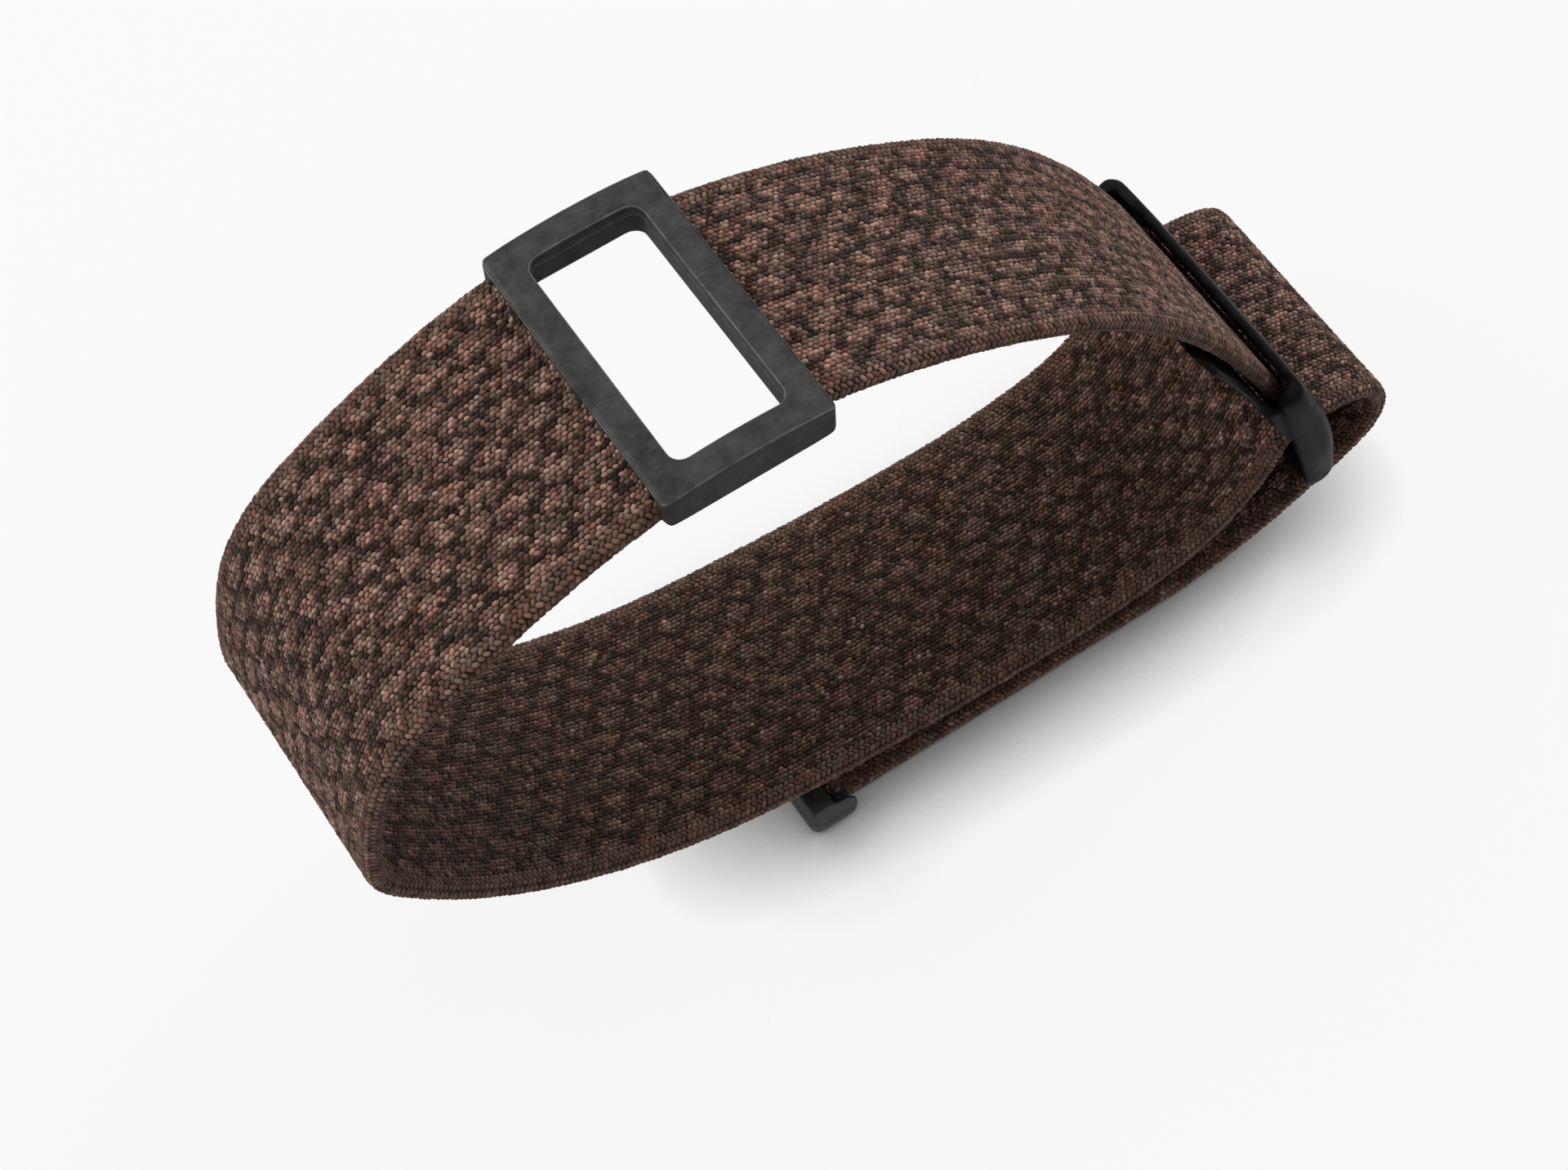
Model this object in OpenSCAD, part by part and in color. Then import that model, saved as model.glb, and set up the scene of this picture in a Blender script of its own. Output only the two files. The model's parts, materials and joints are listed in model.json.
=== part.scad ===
// Adjustable knitted band for a wrist sensor, lying as a closed hoop on its folded-back tail.
// X runs along the band, Y across it, Z up. Millimetres.

/* [Strap] */
// Width of the long strap and its tail
strap_width = 22; // [18:0.5:26]
// Thickness of the knitted strap
strap_thick = 1.6; // [1.3:0.1:1.9]
// Length of the long strap from the sensor frame to the ring
hoop_length = 135.1; // [120:0.1:155]
// Radius of the fold below the ring, at the middle of the strap's thickness
fold_radius = 4.6; // [4.2:0.1:6]
// Flat length of the tail that lies under the hoop
tail_flat = 30.3; // [24:0.1:36]
// How much narrower each side of the strap is inside the frame
shoulder_step = 1.2; // [0.8:0.1:2]
// Length of the narrow neck that stands clear of the frame's flank
shoulder_gap = 0.4; // [0.3:0.1:1.5]
// Length of the strap's bend over the ring's crest
crest_length = 4.4; // [3.8:0.1:5.5]
// Length of the strap from that bend to the fold
lip_length_out = 4; // [3:0.1:6]
// Length of the strap from the fold down to the start of the flat tail's ease
drop_length = 10.6; // [9:0.1:13]
// Length over which the strap eases onto the floor
ease_length = 11.1; // [9:0.1:14]
// Distance from the frame along the short strap's chord to the place where it stands furthest out
short_mid_length = 22.5; // [18:0.5:28]
// Height of the short strap over its chord there
short_rise = 7.2; // [5.5:0.1:9]
// Fabric left around a bar in the strap's end loops
loop_wall = 0.35; // [0.25:0.05:0.45]

/* [Sensor frame] */
// Size of the frame along the band
frame_width = 13.2; // [12.4:0.1:16]
// Height of the frame's flanks
frame_height = 2.8; // [2.7:0.1:3.4]
// Rise of the crowned top at its middle
frame_crown = 0.5; // [0.2:0.1:0.9]
// Bulge of the two end faces at their middle
end_bulge = 0.1; // [0.05:0.01:0.5]
// Wall past each end of the strap's pocket
end_wall = 1.3; // [1.15:0.05:2.2]
// Rounding of the frame's lower long edges
keel_radius = 0.8; // [0.4:0.1:1.2]
// Rounding of the frame's four upright corners
frame_corner = 0.6; // [0.3:0.1:1]
// Small chamfer along the top edges
top_chamfer = 0.2; // [0.1:0.05:0.4]
// Wall between the window and the strap's pocket
window_wall = 0.45; // [0.35:0.05:0.8]
// Width of the bars at the two ends of the window
window_end = 2.2; // [1.8:0.1:3.5]
// Corner radius of the window
window_corner = 1; // [0.6:0.1:1.6]
// Depth below the top edge of the groove that the sensor's lip clicks into
snap_depth = 0.35; // [0.3:0.05:0.8]
// Height of that groove
snap_height = 0.2; // [0.15:0.05:0.4]
// How deep that groove is cut into the window's wall
snap_cut = 0.12; // [0.05:0.01:0.2]
// Height of the wider seat along the window's lower edge
seat_height = 0.35; // [0.2:0.05:0.6]
// How far the seat steps out from the window's wall
seat_step = 0.2; // [0.1:0.05:0.3]
// Distance from the frame's flank to each spring bar's axis
bar_inset = 0.7; // [0.7:0.05:1]
// Depth of the spring bars' axes below the top edge
bar_depth = 1.75; // [1.7:0.05:2]

/* [Spring bars] */
// Radius of a spring bar's barrel
bar_radius = 0.55; // [0.5:0.01:0.65]
// Wall of the barrel
bar_wall = 0.17; // [0.12:0.01:0.2]
// Length of the turned-in lip at each end of the barrel
lip_length = 0.3; // [0.2:0.05:0.5]
// Radius of the tip that enters the frame
tip_radius = 0.27; // [0.2:0.01:0.28]
// Length of the piston inside the barrel
piston_length = 2.4; // [1.5:0.1:4]
// How far a tip reaches into its blind hole
tip_reach = 0.6; // [0.45:0.05:0.65]
// Extra travel of a tip past the point where it clears the hole
tip_extra = 0.1; // [0.05:0.01:0.2]
// Radius of the coil spring's wire
wire_radius = 0.06; // [0.04:0.01:0.07]
// Turns of each coil spring
coil_turns = 14; // [8:1:18]

/* [Ring] */
// Lean of the ring from the vertical, in degrees
ring_lean = 25; // [20:1:30]
// Wall of each cheek
cheek_wall = 1.35; // [1.15:0.05:2]
// Distance from the ring's spring bar to the crest of the long strap in the slot
crest_drop = 4.04; // [3.9:0.02:4.6]
// Sideways place of that crest from the ring's spring bar
crest_side = 1.1; // [0.6:0.1:1.4]
// Distance from the spring bar down to the lower bar
lower_bar_drop = 11.2; // [10.6:0.1:13]
// Radius of the lower bar
lower_bar_radius = 1.4; // [1:0.05:1.5]
// Height of the outer bar above the spring bar
head_rise = 6.1; // [4:0.1:7]
// How far the outer bar reaches below the spring bar
outer_bar_foot = 1.5; // [1.1:0.1:1.7]
// Height of the cheeks' outer edge beside the spring bar
cheek_front = 1.95; // [1.9:0.05:2.6]
// Depth of the cheeks' inner edge beside the spring bar
cheek_back = 1.22; // [1.1:0.02:1.4]
// Radius of the cheeks' round upper ends
head_radius = 1.15; // [0.9:0.05:1.2]
// Bow of the outer bar across the band
ring_bow = 0.25; // [0.1:0.05:0.8]
// Corner radius of the ring's head
head_corner = 1.8; // [1:0.1:2.4]
// Wall of the outer bar's rim outside the groove along its top
rim_wall = 0.24; // [0.2:0.02:0.4]
// Width of that groove
rim_groove = 0.14; // [0.1:0.02:0.2]
// Depth of that groove
rim_groove_depth = 0.35; // [0.2:0.05:0.6]
// Thickness of the inner tongue plate
tongue_thick = 0.65; // [0.5:0.05:0.9]
// Length of the tongue plate above the spring bar
tongue_reach = 17; // [10:0.5:20]
// How far the tongue plate reaches below the spring bar
tongue_foot = 1.8; // [1.2:0.1:1.9]
// How much narrower the tongue plate is on each side than the strap
tongue_margin = 0.3; // [0.1:0.1:2]
// Corner radius of the tongue plate's free end
tongue_corner = 2.5; // [1:0.1:4]

/* [End clip] */
// Height of the end clip
clip_height = 2.2; // [2.1:0.1:2.6]
// Distance between the clip's pivot bar and the middle of its free edge
clip_span = 2.75; // [2.4:0.05:4]
// Radius of the clip's pivot bar
clip_bar_radius = 0.6; // [0.45:0.05:0.65]
// Length of the clip beyond that free edge's middle
clip_free_radius = 0.65; // [0.5:0.05:0.8]
// Wall of the clip's end blocks past the strap's edges
clip_wall = 0.9; // [0.8:0.05:1.4]
// Bevel along the clip's top edges
clip_bevel = 0.7; // [0.4:0.05:0.8]
// Room between the clip and the tail's end loop
clip_loop_gap = 0.2; // [0.15:0.05:0.4]

/* [Hook and loop] */
// Length of the two fastening patches
patch_length = 21; // [12:0.5:23]
// Distance from the end of the tail's flat length to the patches
patch_inset = 2.5; // [1.5:0.5:4]
// How much narrower than the strap the patches are on each side
patch_margin = 2; // [1:0.5:4]
// Thickness of the hook patch on the tail
hook_thick = 0.8; // [0.5:0.05:0.85]
// Thickness of the loop patch on the hoop
loop_thick = 0.7; // [0.4:0.05:0.75]

/* [Clearances] */
// Between a barrel and the loop around it, on the radius
barrel_fit = 0.05; // [0.03:0.01:0.08]
// Between a tip and its hole or lip, on the radius
tip_fit = 0.03; // [0.02:0.01:0.04]
// Between a piston and the barrel's bore, on the radius
piston_fit = 0.04; // [0.02:0.01:0.06]
// Between a barrel's end and the wall beside it
bar_end_gap = 0.3; // [0.2:0.05:0.4]
// Between the strap's loop and the pocket or plate around it
loop_gap = 0.15; // [0.12:0.01:0.2]
// Between the strap's end and the pocket's end wall
pocket_gap = 0.4; // [0.3:0.05:0.6]
// Between the strap's edge and the ring's cheek
cheek_gap = 0.35; // [0.3:0.05:0.8]
// Between the strap's edge and the clip's end block
clip_gap = 0.4; // [0.35:0.05:0.8]
// Around the tail's round end at the fold
fold_gap = 0.3; // [0.2:0.05:0.4]
// Between a patch and the curved strap it is sewn to
sew_gap = 0.05; // [0.03:0.01:0.08]
// Between a bar's tongue plate and the strap loop beside it
tongue_gap = 0.25; // [0.25:0.01:0.4]

/* [Hidden] */
half_t = strap_thick / 2;
tongue_width = strap_width - 2 * shoulder_step;
loop_bore = bar_radius + barrel_fit;
loop_radius = loop_bore + loop_wall;
hole_radius = tip_radius + tip_fit;

// The hoop's shape as arcs of the strap's mid-line: length in mm at a run of 135.1, turn in degrees
run_scale = hoop_length / 135.1;
start_heading = 190.56;
hoop_arcs = [[6.6, 10.14], [13.4, 13.7], [10.1, 38], [8.7, 13.3], [4.3, 33.8], [9, 10.3],
    [18.3, 22.4], [15.8, 19.1], [23.9, 7.7], [11, 15.1], [14, 57.3]];
crest_arc = [crest_length, -73.7];
lip_arc = [lip_length_out, -13.2];
fold_turn = -128.7;
fold_arc = [fold_radius * abs(fold_turn) * PI / 180, fold_turn];
drop_arc = [drop_length, -14.7];

function total(list, k) = k == 0 ? 0 : list[k - 1][1] + total(list, k - 1);
scaled_hoop = [for (a = hoop_arcs) [a[0] * run_scale, a[1]]];
ring_arcs = concat(scaled_hoop, [crest_arc, lip_arc]);
last_heading = start_heading + total(ring_arcs, len(ring_arcs)) + fold_turn + drop_arc[1];
all_arcs = concat(ring_arcs, [fold_arc, drop_arc, [ease_length, 180 - last_heading], [tail_flat, 0]]);

function unit(h) = [cos(h), sin(h)];
function left_of(h) = [-sin(h), cos(h)];
function arc_end(p, h, l, t) = abs(t) < 0.01 ? p + l * unit(h)
    : p + l * 180 / (PI * t) * [sin(h + t) - sin(h), cos(h) - cos(h + t)];
// Start point and heading of each arc in a chain
function chain(list, p, h, i = 0, acc = []) = i == len(list) ? concat(acc, [[p, h]])
    : chain(list, arc_end(p, h, list[i][0], list[i][1]), h + list[i][1], i + 1, concat(acc, [[p, h]]));
// Points with headings along arcs i to j of a chain, one every three degrees
function along(list, starts, i, j) = concat(
    [for (k = [i:j - 1]) let (n = max(1, ceil(abs(list[k][1]) / 3)))
        for (m = [0:n - 1]) let (f = m / n)
        [arc_end(starts[k][0], starts[k][1], list[k][0] * f, list[k][1] * f), starts[k][1] + list[k][1] * f]],
    [starts[j]]);
function side(pts, d) = [for (q = pts) q[0] + d * left_of(q[1])];
function flip(v) = [for (i = [len(v) - 1:-1:0]) v[i]];

// First pass at the origin finds the height and the middle, the second pass is in place
raw = chain(all_arcs, [0, 0], start_heading);
raw_out = side(along(all_arcs, raw, 0, len(all_arcs)), -half_t);
raw_in = side(along(all_arcs, raw, 0, len(all_arcs)), half_t);
raw_x = [for (q = concat(raw_out, raw_in)) q[0]];
origin_shift = [-(min(raw_x) + max(raw_x)) / 2, half_t - raw[len(raw) - 1][0][1]];
left_bar = origin_shift;
starts = chain(all_arcs, left_bar, start_heading);
bar_pitch = frame_width - 2 * bar_inset;
right_bar = left_bar + [bar_pitch, 0];
frame_mid = left_bar[0] + bar_pitch / 2;
frame_top = left_bar[1] + bar_depth;

// The fold is cut into hoop and tail where the strap points straight down
fold_index = 13;
down_turn = 270 - starts[fold_index][1];
fold_share = down_turn / fold_turn;
fold_point = arc_end(starts[fold_index][0], starts[fold_index][1], fold_arc[0] * fold_share, down_turn);
upper_arcs = concat(ring_arcs, [[fold_arc[0] * down_turn / fold_turn, down_turn]]);
lower_arcs = [[fold_arc[0] * (1 - down_turn / fold_turn), fold_turn - down_turn],
    all_arcs[14], all_arcs[15], all_arcs[16]];
upper_starts = chain(upper_arcs, left_bar, start_heading);
lower_starts = chain(lower_arcs, fold_point, 270);

// Ring frame of reference: first number down along the strap, second number outward
ring_down = [sin(ring_lean), -cos(ring_lean)];
ring_out = [cos(ring_lean), sin(ring_lean)];
crest = starts[12][0];
ring_bar = crest - crest_drop * ring_down - crest_side * ring_out;
function ring_at(s, m) = ring_bar + s * ring_down + m * ring_out;

// Short strap: two smooth stretches from the frame's right bar over a mid station to the ring's bar
short_start = -12.4;
short_mid_turn = 7.8;
short_end = ring_lean - 90;
chord = norm(ring_bar - right_bar);
chord_dir = (ring_bar - right_bar) / chord;
chord_heading = atan2(chord_dir[1], chord_dir[0]);
short_mid = right_bar + short_mid_length * chord_dir + short_rise * left_of(chord_heading);
// Points with headings on a smooth stretch from p at heading a to q at heading b, from share t0 on
function stretch(p, a, q, b, n, t0 = 0) =
    let (arm = norm(q - p) / 3 / pow(cos((b - a) / 4), 2), p1 = p + arm * unit(a), p2 = q - arm * unit(b))
    [for (i = [0:n]) let (t = t0 + (1 - t0) * i / n, u = 1 - t,
        d = u * u * (p1 - p) + 2 * u * t * (p2 - p1) + t * t * (q - p2))
        [u * u * u * p + 3 * u * u * t * p1 + 3 * u * t * t * p2 + t * t * t * q, atan2(d[1], d[0])]];
short_upper = stretch(right_bar, short_start, short_mid, chord_heading + short_mid_turn, 12);
short_lower = stretch(short_mid, chord_heading + short_mid_turn, ring_bar, short_end, 14);
short_pts = concat([for (i = [0:len(short_upper) - 2]) short_upper[i]], short_lower);

// Frame sizes
pocket_half = tongue_width / 2 + pocket_gap;
frame_half = pocket_half + end_wall;
window_x = frame_width / 2 - bar_inset - loop_radius - loop_gap - window_wall;
window_y = frame_half - window_end;
pocket_in = window_x + window_wall;
pocket_room = 0.05;

// Ring and clip sizes
cheek_in = strap_width / 2 + cheek_gap;
cheek_out = cheek_in + cheek_wall;
clip_in = strap_width / 2 + clip_gap;
clip_out = clip_in + clip_wall;
clip_axis = [starts[17][0][0] - 1, clip_height / 2];
clip_loop_bore = clip_bar_radius + barrel_fit;

// Turns an outline in X and Z into a solid of width w, centred across the band
module across(w) {
    rotate([90, 0, 0]) translate([0, 0, -w / 2]) linear_extrude(w) children();
}
module rod(p, r, w) {
    translate([p[0], 0, p[1]]) rotate([90, 0, 0]) cylinder(r = r, h = w, center = true, $fn = 48);
}
module rod_from(p, y0, y1, r) {
    translate([p[0], max(y0, y1), p[1]]) rotate([90, 0, 0]) cylinder(r = r, h = abs(y1 - y0), $fn = 48);
}
module band(pts, d1, d2) {
    polygon(concat(side(pts, d1), flip(side(pts, d2))));
}

module pod_frame() {
    w = frame_width / 2;
    h = frame_height;
    k = keel_radius;
    c = top_chamfer;
    crown_r = (w * w + frame_crown * frame_crown) / (2 * frame_crown);
    bulge_r = (w * w + end_bulge * end_bulge) / (2 * end_bulge);
    keel = [for (a = [0:10:90]) [w - k + k * cos(a), -h + k - k * sin(a)]];
    color("dimgray") translate([frame_mid, 0, frame_top]) difference() {
        intersection() {
            across(2 * frame_half) polygon(concat([[-w + c, frame_crown + 0.1], [-w + c, 0], [-w, -c]],
                [for (q = keel) [-q[0], q[1]]], flip(keel),
                [[w, -c], [w - c, 0], [w - c, frame_crown + 0.1]]));
            translate([0, 0, frame_crown - crown_r]) rotate([90, 0, 0])
                cylinder(r = crown_r, h = 3 * frame_half, center = true, $fn = 200);
            translate([0, frame_half - bulge_r, -h - 1]) cylinder(r = bulge_r, h = h + 4, $fn = 240);
            translate([0, bulge_r - frame_half, -h - 1]) cylinder(r = bulge_r, h = h + 4, $fn = 240);
            translate([0, 0, -h - 1]) linear_extrude(h + 4)
                round_plan(w, frame_half - end_bulge / 2, frame_corner);
        }
        // Window with the sensor's snap groove near its top and a wider seat along its lower edge
        translate([0, 0, -h - 1]) linear_extrude(h + 4) window(0);
        translate([0, 0, -snap_depth - snap_height]) linear_extrude(snap_height) window(snap_cut);
        translate([0, 0, -h - 1]) linear_extrude(seat_height + 1) window(seat_step);
        for (s = [-1, 1]) {
            // Pocket for the strap's loop, open below and outward
            pocket(s);
            // Blind holes for the spring bar's tips
            for (e = [-1, 1])
                rod_from([s * bar_pitch / 2, -bar_depth], e * (pocket_half - 0.2),
                    e * (pocket_half + tip_reach + 0.15), hole_radius);
        }
    }
}
// Rectangle of half sizes x and y with round corners
module round_plan(x, y, r) {
    polygon([for (q = [0:3]) for (a = [0:15:90]) let (d = q * 90 + a)
        [(q == 0 || q == 3 ? x - r : r - x) + r * cos(d), (q < 2 ? y - r : r - y) + r * sin(d)]]);
}
module window(g) {
    round_plan(window_x + g, window_y + g, window_corner + g);
}
module pocket(s) {
    r = loop_radius + loop_gap;
    p = [s * bar_pitch / 2, -bar_depth];
    rod(p, r + pocket_room, 2 * pocket_half);
    translate([s > 0 ? pocket_in : -frame_width / 2 - 2, -pocket_half, -frame_height - 1])
        cube([frame_width / 2 + 2 - pocket_in, 2 * pocket_half, frame_height + 1 - bar_depth]);
    translate([s > 0 ? p[0] : -frame_width / 2 - 2, -pocket_half, -bar_depth - 1])
        cube([frame_width / 2 + 2 - bar_pitch / 2, 2 * pocket_half, r + 1 + pocket_room]);
}

module long_strap() {
    pts = along(upper_arcs, upper_starts, 0, len(upper_arcs));
    neck = frame_width / 2 - bar_pitch / 2 + shoulder_gap;
    color("saddlebrown") difference() {
        union() {
            across(strap_width) band(pts, half_t, -half_t);
            rod(left_bar, loop_radius, tongue_width);
        }
        rod(left_bar, loop_bore, strap_width + 2);
        rod(fold_point, half_t + fold_gap, strap_width + 2);
        for (e = [-1, 1])
            translate([left_bar[0] - neck, e > 0 ? tongue_width / 2 : -tongue_width / 2 - 4, left_bar[1] - 3])
                cube([neck + 3, 4, 6]);
    }
}

module strap_tail() {
    pts = along(lower_arcs, lower_starts, 0, len(lower_arcs));
    color("peru") difference() {
        union() {
            across(strap_width) band(pts, half_t, -half_t);
            rod(fold_point, half_t, strap_width);
            rod(clip_axis, clip_axis[1], strap_width);
            translate([clip_axis[0], -strap_width / 2, 0]) cube([1.2, strap_width, strap_thick]);
        }
        rod(clip_axis, clip_loop_bore, strap_width + 2);
    }
}

module short_strap() {
    color("sienna") difference() {
        union() {
            across(tongue_width) band(short_pts, half_t, -half_t);
            rod(right_bar, loop_radius, tongue_width);
            rod(ring_bar, loop_radius, tongue_width);
        }
        rod(right_bar, loop_bore, tongue_width + 2);
        rod(ring_bar, loop_bore, tongue_width + 2);
    }
}

// Cheek outline: a crowned front edge, a straight rear edge and round ends
face_top = -0.6;
function cheek_face(s) = cheek_front - pow(s - face_top, 2) / (s < face_top ? 160 : 64);
function cheek_rear(s) = -cheek_back - 0.146 * s;
lower_m = (cheek_face(lower_bar_drop) + cheek_rear(lower_bar_drop)) / 2;
foot_r = (cheek_face(lower_bar_drop) - cheek_rear(lower_bar_drop)) / 2;
head_s = -head_rise + head_radius;
head_m = cheek_face(head_s) - head_radius;
cheek_pts = concat(
    [for (a = [0:15:165]) [head_s - head_radius * sin(a), head_m - head_radius * cos(a)]],
    [for (i = [0:9]) let (s = head_s + i * (lower_bar_drop - head_s) / 9) [s, cheek_face(s)]],
    [for (a = [75:-15:-90]) [lower_bar_drop + foot_r * cos(a), lower_m + foot_r * sin(a)]]);

module ring_link() {
    bow_r = (cheek_out * cheek_out + ring_bow * ring_bow) / (2 * ring_bow);
    run = head_rise + outer_bar_foot - 0.5;
    tilt = atan((cheek_face(outer_bar_foot) - cheek_face(-head_rise + 0.5)) / run);
    mid_s = (outer_bar_foot - head_rise) / 2;
    plate = stretch(short_mid, chord_heading + short_mid_turn, ring_bar, short_end, 10,
        max(0, 1 - 1.2 * tongue_reach / norm(ring_bar - short_mid)));
    drop = loop_radius + tongue_gap;
    head_in = loop_radius + loop_gap + 0.05;
    color("darkslategray") difference() {
        union() {
            // Cheeks and lower bar
            for (e = [-1, 1])
                translate([0, e * (cheek_in + cheek_out) / 2, 0]) across(cheek_wall)
                    polygon([for (q = cheek_pts) ring_at(q[0], q[1])]);
            rod(ring_at(lower_bar_drop, lower_m), lower_bar_radius, 2 * cheek_out - 0.2);
            // Outer bar, bowed across the band
            intersection() {
                across(2 * cheek_out) polygon(concat(
                    [for (i = [0:6]) let (s = -head_rise + (head_rise + outer_bar_foot) * i / 6)
                        ring_at(s, cheek_face(s) + ring_bow)],
                    [ring_at(outer_bar_foot, head_in), ring_at(-head_rise, head_in)]));
                bow(bow_r, mid_s, tilt, 0);
                ring_plan(head_rise, outer_bar_foot);
            }
            // Tongue plate along the inside of the short strap, with its root in the cheeks
            intersection() {
                across(strap_width - 2 * tongue_margin) polygon(concat(side(plate, -drop),
                    [ring_at(tongue_foot, -drop), ring_at(tongue_foot, -drop - tongue_thick)],
                    flip(side(plate, -drop - tongue_thick))));
                tongue_plan();
            }
            for (e = [-1, 1])
                translate([0, e * (tongue_width / 2 + pocket_gap + cheek_in + root_depth) / 2, 0])
                    across(cheek_in + root_depth - tongue_width / 2 - pocket_gap)
                    polygon([ring_at(-4.5, -0.9), ring_at(tongue_foot, -0.95),
                        ring_at(tongue_foot, -drop - tongue_thick + 0.5),
                        ring_at(tongue_foot - 0.5, -drop - tongue_thick),
                        ring_at(-1.8, -drop - tongue_thick), ring_at(-4.2, -1.55)]);
        }
        for (e = [-1, 1])
            rod_from(ring_bar, e * (cheek_in - 0.2), e * (cheek_in + tip_reach + 0.15), hole_radius);
        // Groove along the top of the outer bar
        intersection() {
            difference() {
                bow(bow_r, mid_s, tilt, -rim_wall);
                bow(bow_r, mid_s, tilt, -rim_wall - rim_groove);
            }
            across(2 * cheek_in - 1)
                polygon([ring_at(-head_rise - 1, head_in), ring_at(rim_groove_depth - head_rise, head_in),
                ring_at(rim_groove_depth - head_rise, 4), ring_at(-head_rise - 1, 4)]);
        }
    }
}
// The round body whose face is the outer bar's bowed front, grown by g
module bow(r, s, tilt, g) {
    translate([ring_bar[0], 0, ring_bar[1]]) rotate([0, 90 - ring_lean, 0])
        translate([s, 0, cheek_face(s) + ring_bow - r]) rotate([0, 90 - tilt, 0])
        cylinder(r = r + g, h = 3 * head_rise, center = true, $fn = 360);
}
root_depth = 0.6;
// Outline of the ring's head seen from outside, with round corners
module ring_plan(up, down) {
    r = head_corner;
    y = cheek_out - r;
    translate([ring_bar[0], 0, ring_bar[1]]) rotate([0, 90 - ring_lean, 0]) translate([0, 0, -6])
        linear_extrude(14) polygon(concat(
        [for (a = [90:15:180]) [-up + r + r * cos(a), y + r * sin(a)]],
        [for (a = [180:15:270]) [-up + r + r * cos(a), -y + r * sin(a)]],
        [[down, -cheek_out], [down, cheek_out]]));
}
module tongue_plan() {
    r = tongue_corner;
    y = strap_width / 2 - tongue_margin - r;
    translate([ring_bar[0], 0, ring_bar[1]]) rotate([0, 90 - ring_lean, 0]) translate([0, 0, -12])
        linear_extrude(24) polygon(concat(
        [for (a = [90:15:180]) [-tongue_reach + r + r * cos(a), y + r * sin(a)]],
        [for (a = [180:15:270]) [-tongue_reach + r + r * cos(a), -y + r * sin(a)]],
        [[6, -y - r], [6, y + r]]));
}

module end_clip() {
    r = clip_height / 2;
    h = clip_height;
    c = clip_bevel;
    o = clip_out;
    left = clip_axis[0] - clip_span - clip_free_radius;
    color("gray") union() {
        difference() {
            intersection() {
                // Side view: bevelled free edge, round about the pivot
                across(2 * o) polygon(concat([[left + 0.4, 0], [left, 0.4], [left, h - c], [left + c, h]],
                    [for (a = [90:-15:-90]) clip_axis + r * [cos(a), sin(a)]]));
                // End view: bevelled top corners
                translate([left - 1, 0, 0]) rotate([90, 0, 90]) linear_extrude(h + clip_span + 4)
                    polygon([[0.3 - o, 0], [o - 0.3, 0], [o, 0.3], [o, h - c],
                    [o - c, h], [c - o, h], [-o, h - c], [-o, 0.3]]);
                translate([(left + clip_axis[0] + r) / 2, 0, -1]) linear_extrude(h + 2)
                    round_plan((clip_axis[0] + r - left) / 2, o, 0.8);
            }
            // Room for the tail's end loop, open towards the strap
            rod(clip_axis, r + clip_loop_gap, 2 * clip_in);
            translate([clip_axis[0], -clip_in, -1]) cube([r + 1, 2 * clip_in, h + 2]);
        }
        rod(clip_axis, clip_bar_radius, 2 * clip_in + 0.4);
    }
}

// Patches sit between the tail and the hoop's lowest stretch
patch_x0 = starts[17][0][0] + patch_inset + 4;
module hook_patch() {
    color("black") translate([patch_x0, -strap_width / 2 + patch_margin, strap_thick])
        cube([patch_length, strap_width - 2 * patch_margin, hook_thick]);
}
module loop_patch() {
    pts = along(upper_arcs, upper_starts, 7, 10);
    color("black") intersection() {
        across(strap_width - 2 * patch_margin) band(pts, -half_t - sew_gap, -half_t - loop_thick);
        translate([patch_x0, -strap_width, 0]) cube([patch_length, 2 * strap_width, 30]);
    }
}

// Spring bars lie along Y with their middle at Y 0
bore_radius = bar_radius - bar_wall;
tip_travel = tip_reach + tip_extra;
module barrel(p, half) {
    inner = half - bar_end_gap;
    color("silver") difference() {
        rod(p, bar_radius, 2 * inner);
        rod(p, bore_radius, 2 * (inner - lip_length));
        rod(p, tip_radius + tip_fit, 2 * inner + 1);
    }
}
module tip(p, half, e) {
    inner = half - bar_end_gap - lip_length;
    color("lightgray") union() {
        rod_from(p, e * (inner - 0.02 - piston_length), e * (inner - 0.02), bore_radius - piston_fit);
        rod_from(p, e * (inner - 0.1), e * (half + tip_reach), tip_radius);
    }
}
// The coil has the length that is left when both tips are pressed in
module coil(p, half) {
    room = half - bar_end_gap - lip_length - piston_length - tip_travel - 0.1;
    mean = bore_radius - piston_fit - wire_radius;
    steps = 8 * coil_turns;
    sides = 5;
    rings = [for (i = [0:steps]) let (a = i * 45, y = (room - wire_radius) * (2 * i / steps - 1))
        for (k = [0:sides - 1]) let (b = k * 360 / sides, r = mean + wire_radius * cos(b))
        [p[0] + r * cos(a), y + wire_radius * sin(b), p[1] + r * sin(a)]];
    caps = [[for (k = [0:sides - 1]) k], [for (k = [sides - 1:-1:0]) steps * sides + k]];
    walls = [for (i = [0:steps - 1]) for (k = [0:sides - 1]) let (n = (k + 1) % sides, q = i * sides)
        each [[q + k, q + sides + k, q + n], [q + n, q + sides + k, q + sides + n]]];
    color("gold") polyhedron(points = rings, faces = concat(caps, walls));
}
module left_barrel() { barrel(left_bar, pocket_half); }
module left_tip_near() { tip(left_bar, pocket_half, -1); }
module left_tip_far() { tip(left_bar, pocket_half, 1); }
module left_coil() { coil(left_bar, pocket_half); }
module right_barrel() { barrel(right_bar, pocket_half); }
module right_tip_near() { tip(right_bar, pocket_half, -1); }
module right_tip_far() { tip(right_bar, pocket_half, 1); }
module right_coil() { coil(right_bar, pocket_half); }
module ring_barrel() { barrel(ring_bar, cheek_in); }
module ring_tip_near() { tip(ring_bar, cheek_in, -1); }
module ring_tip_far() { tip(ring_bar, cheek_in, 1); }
module ring_coil() { coil(ring_bar, cheek_in); }

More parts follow.
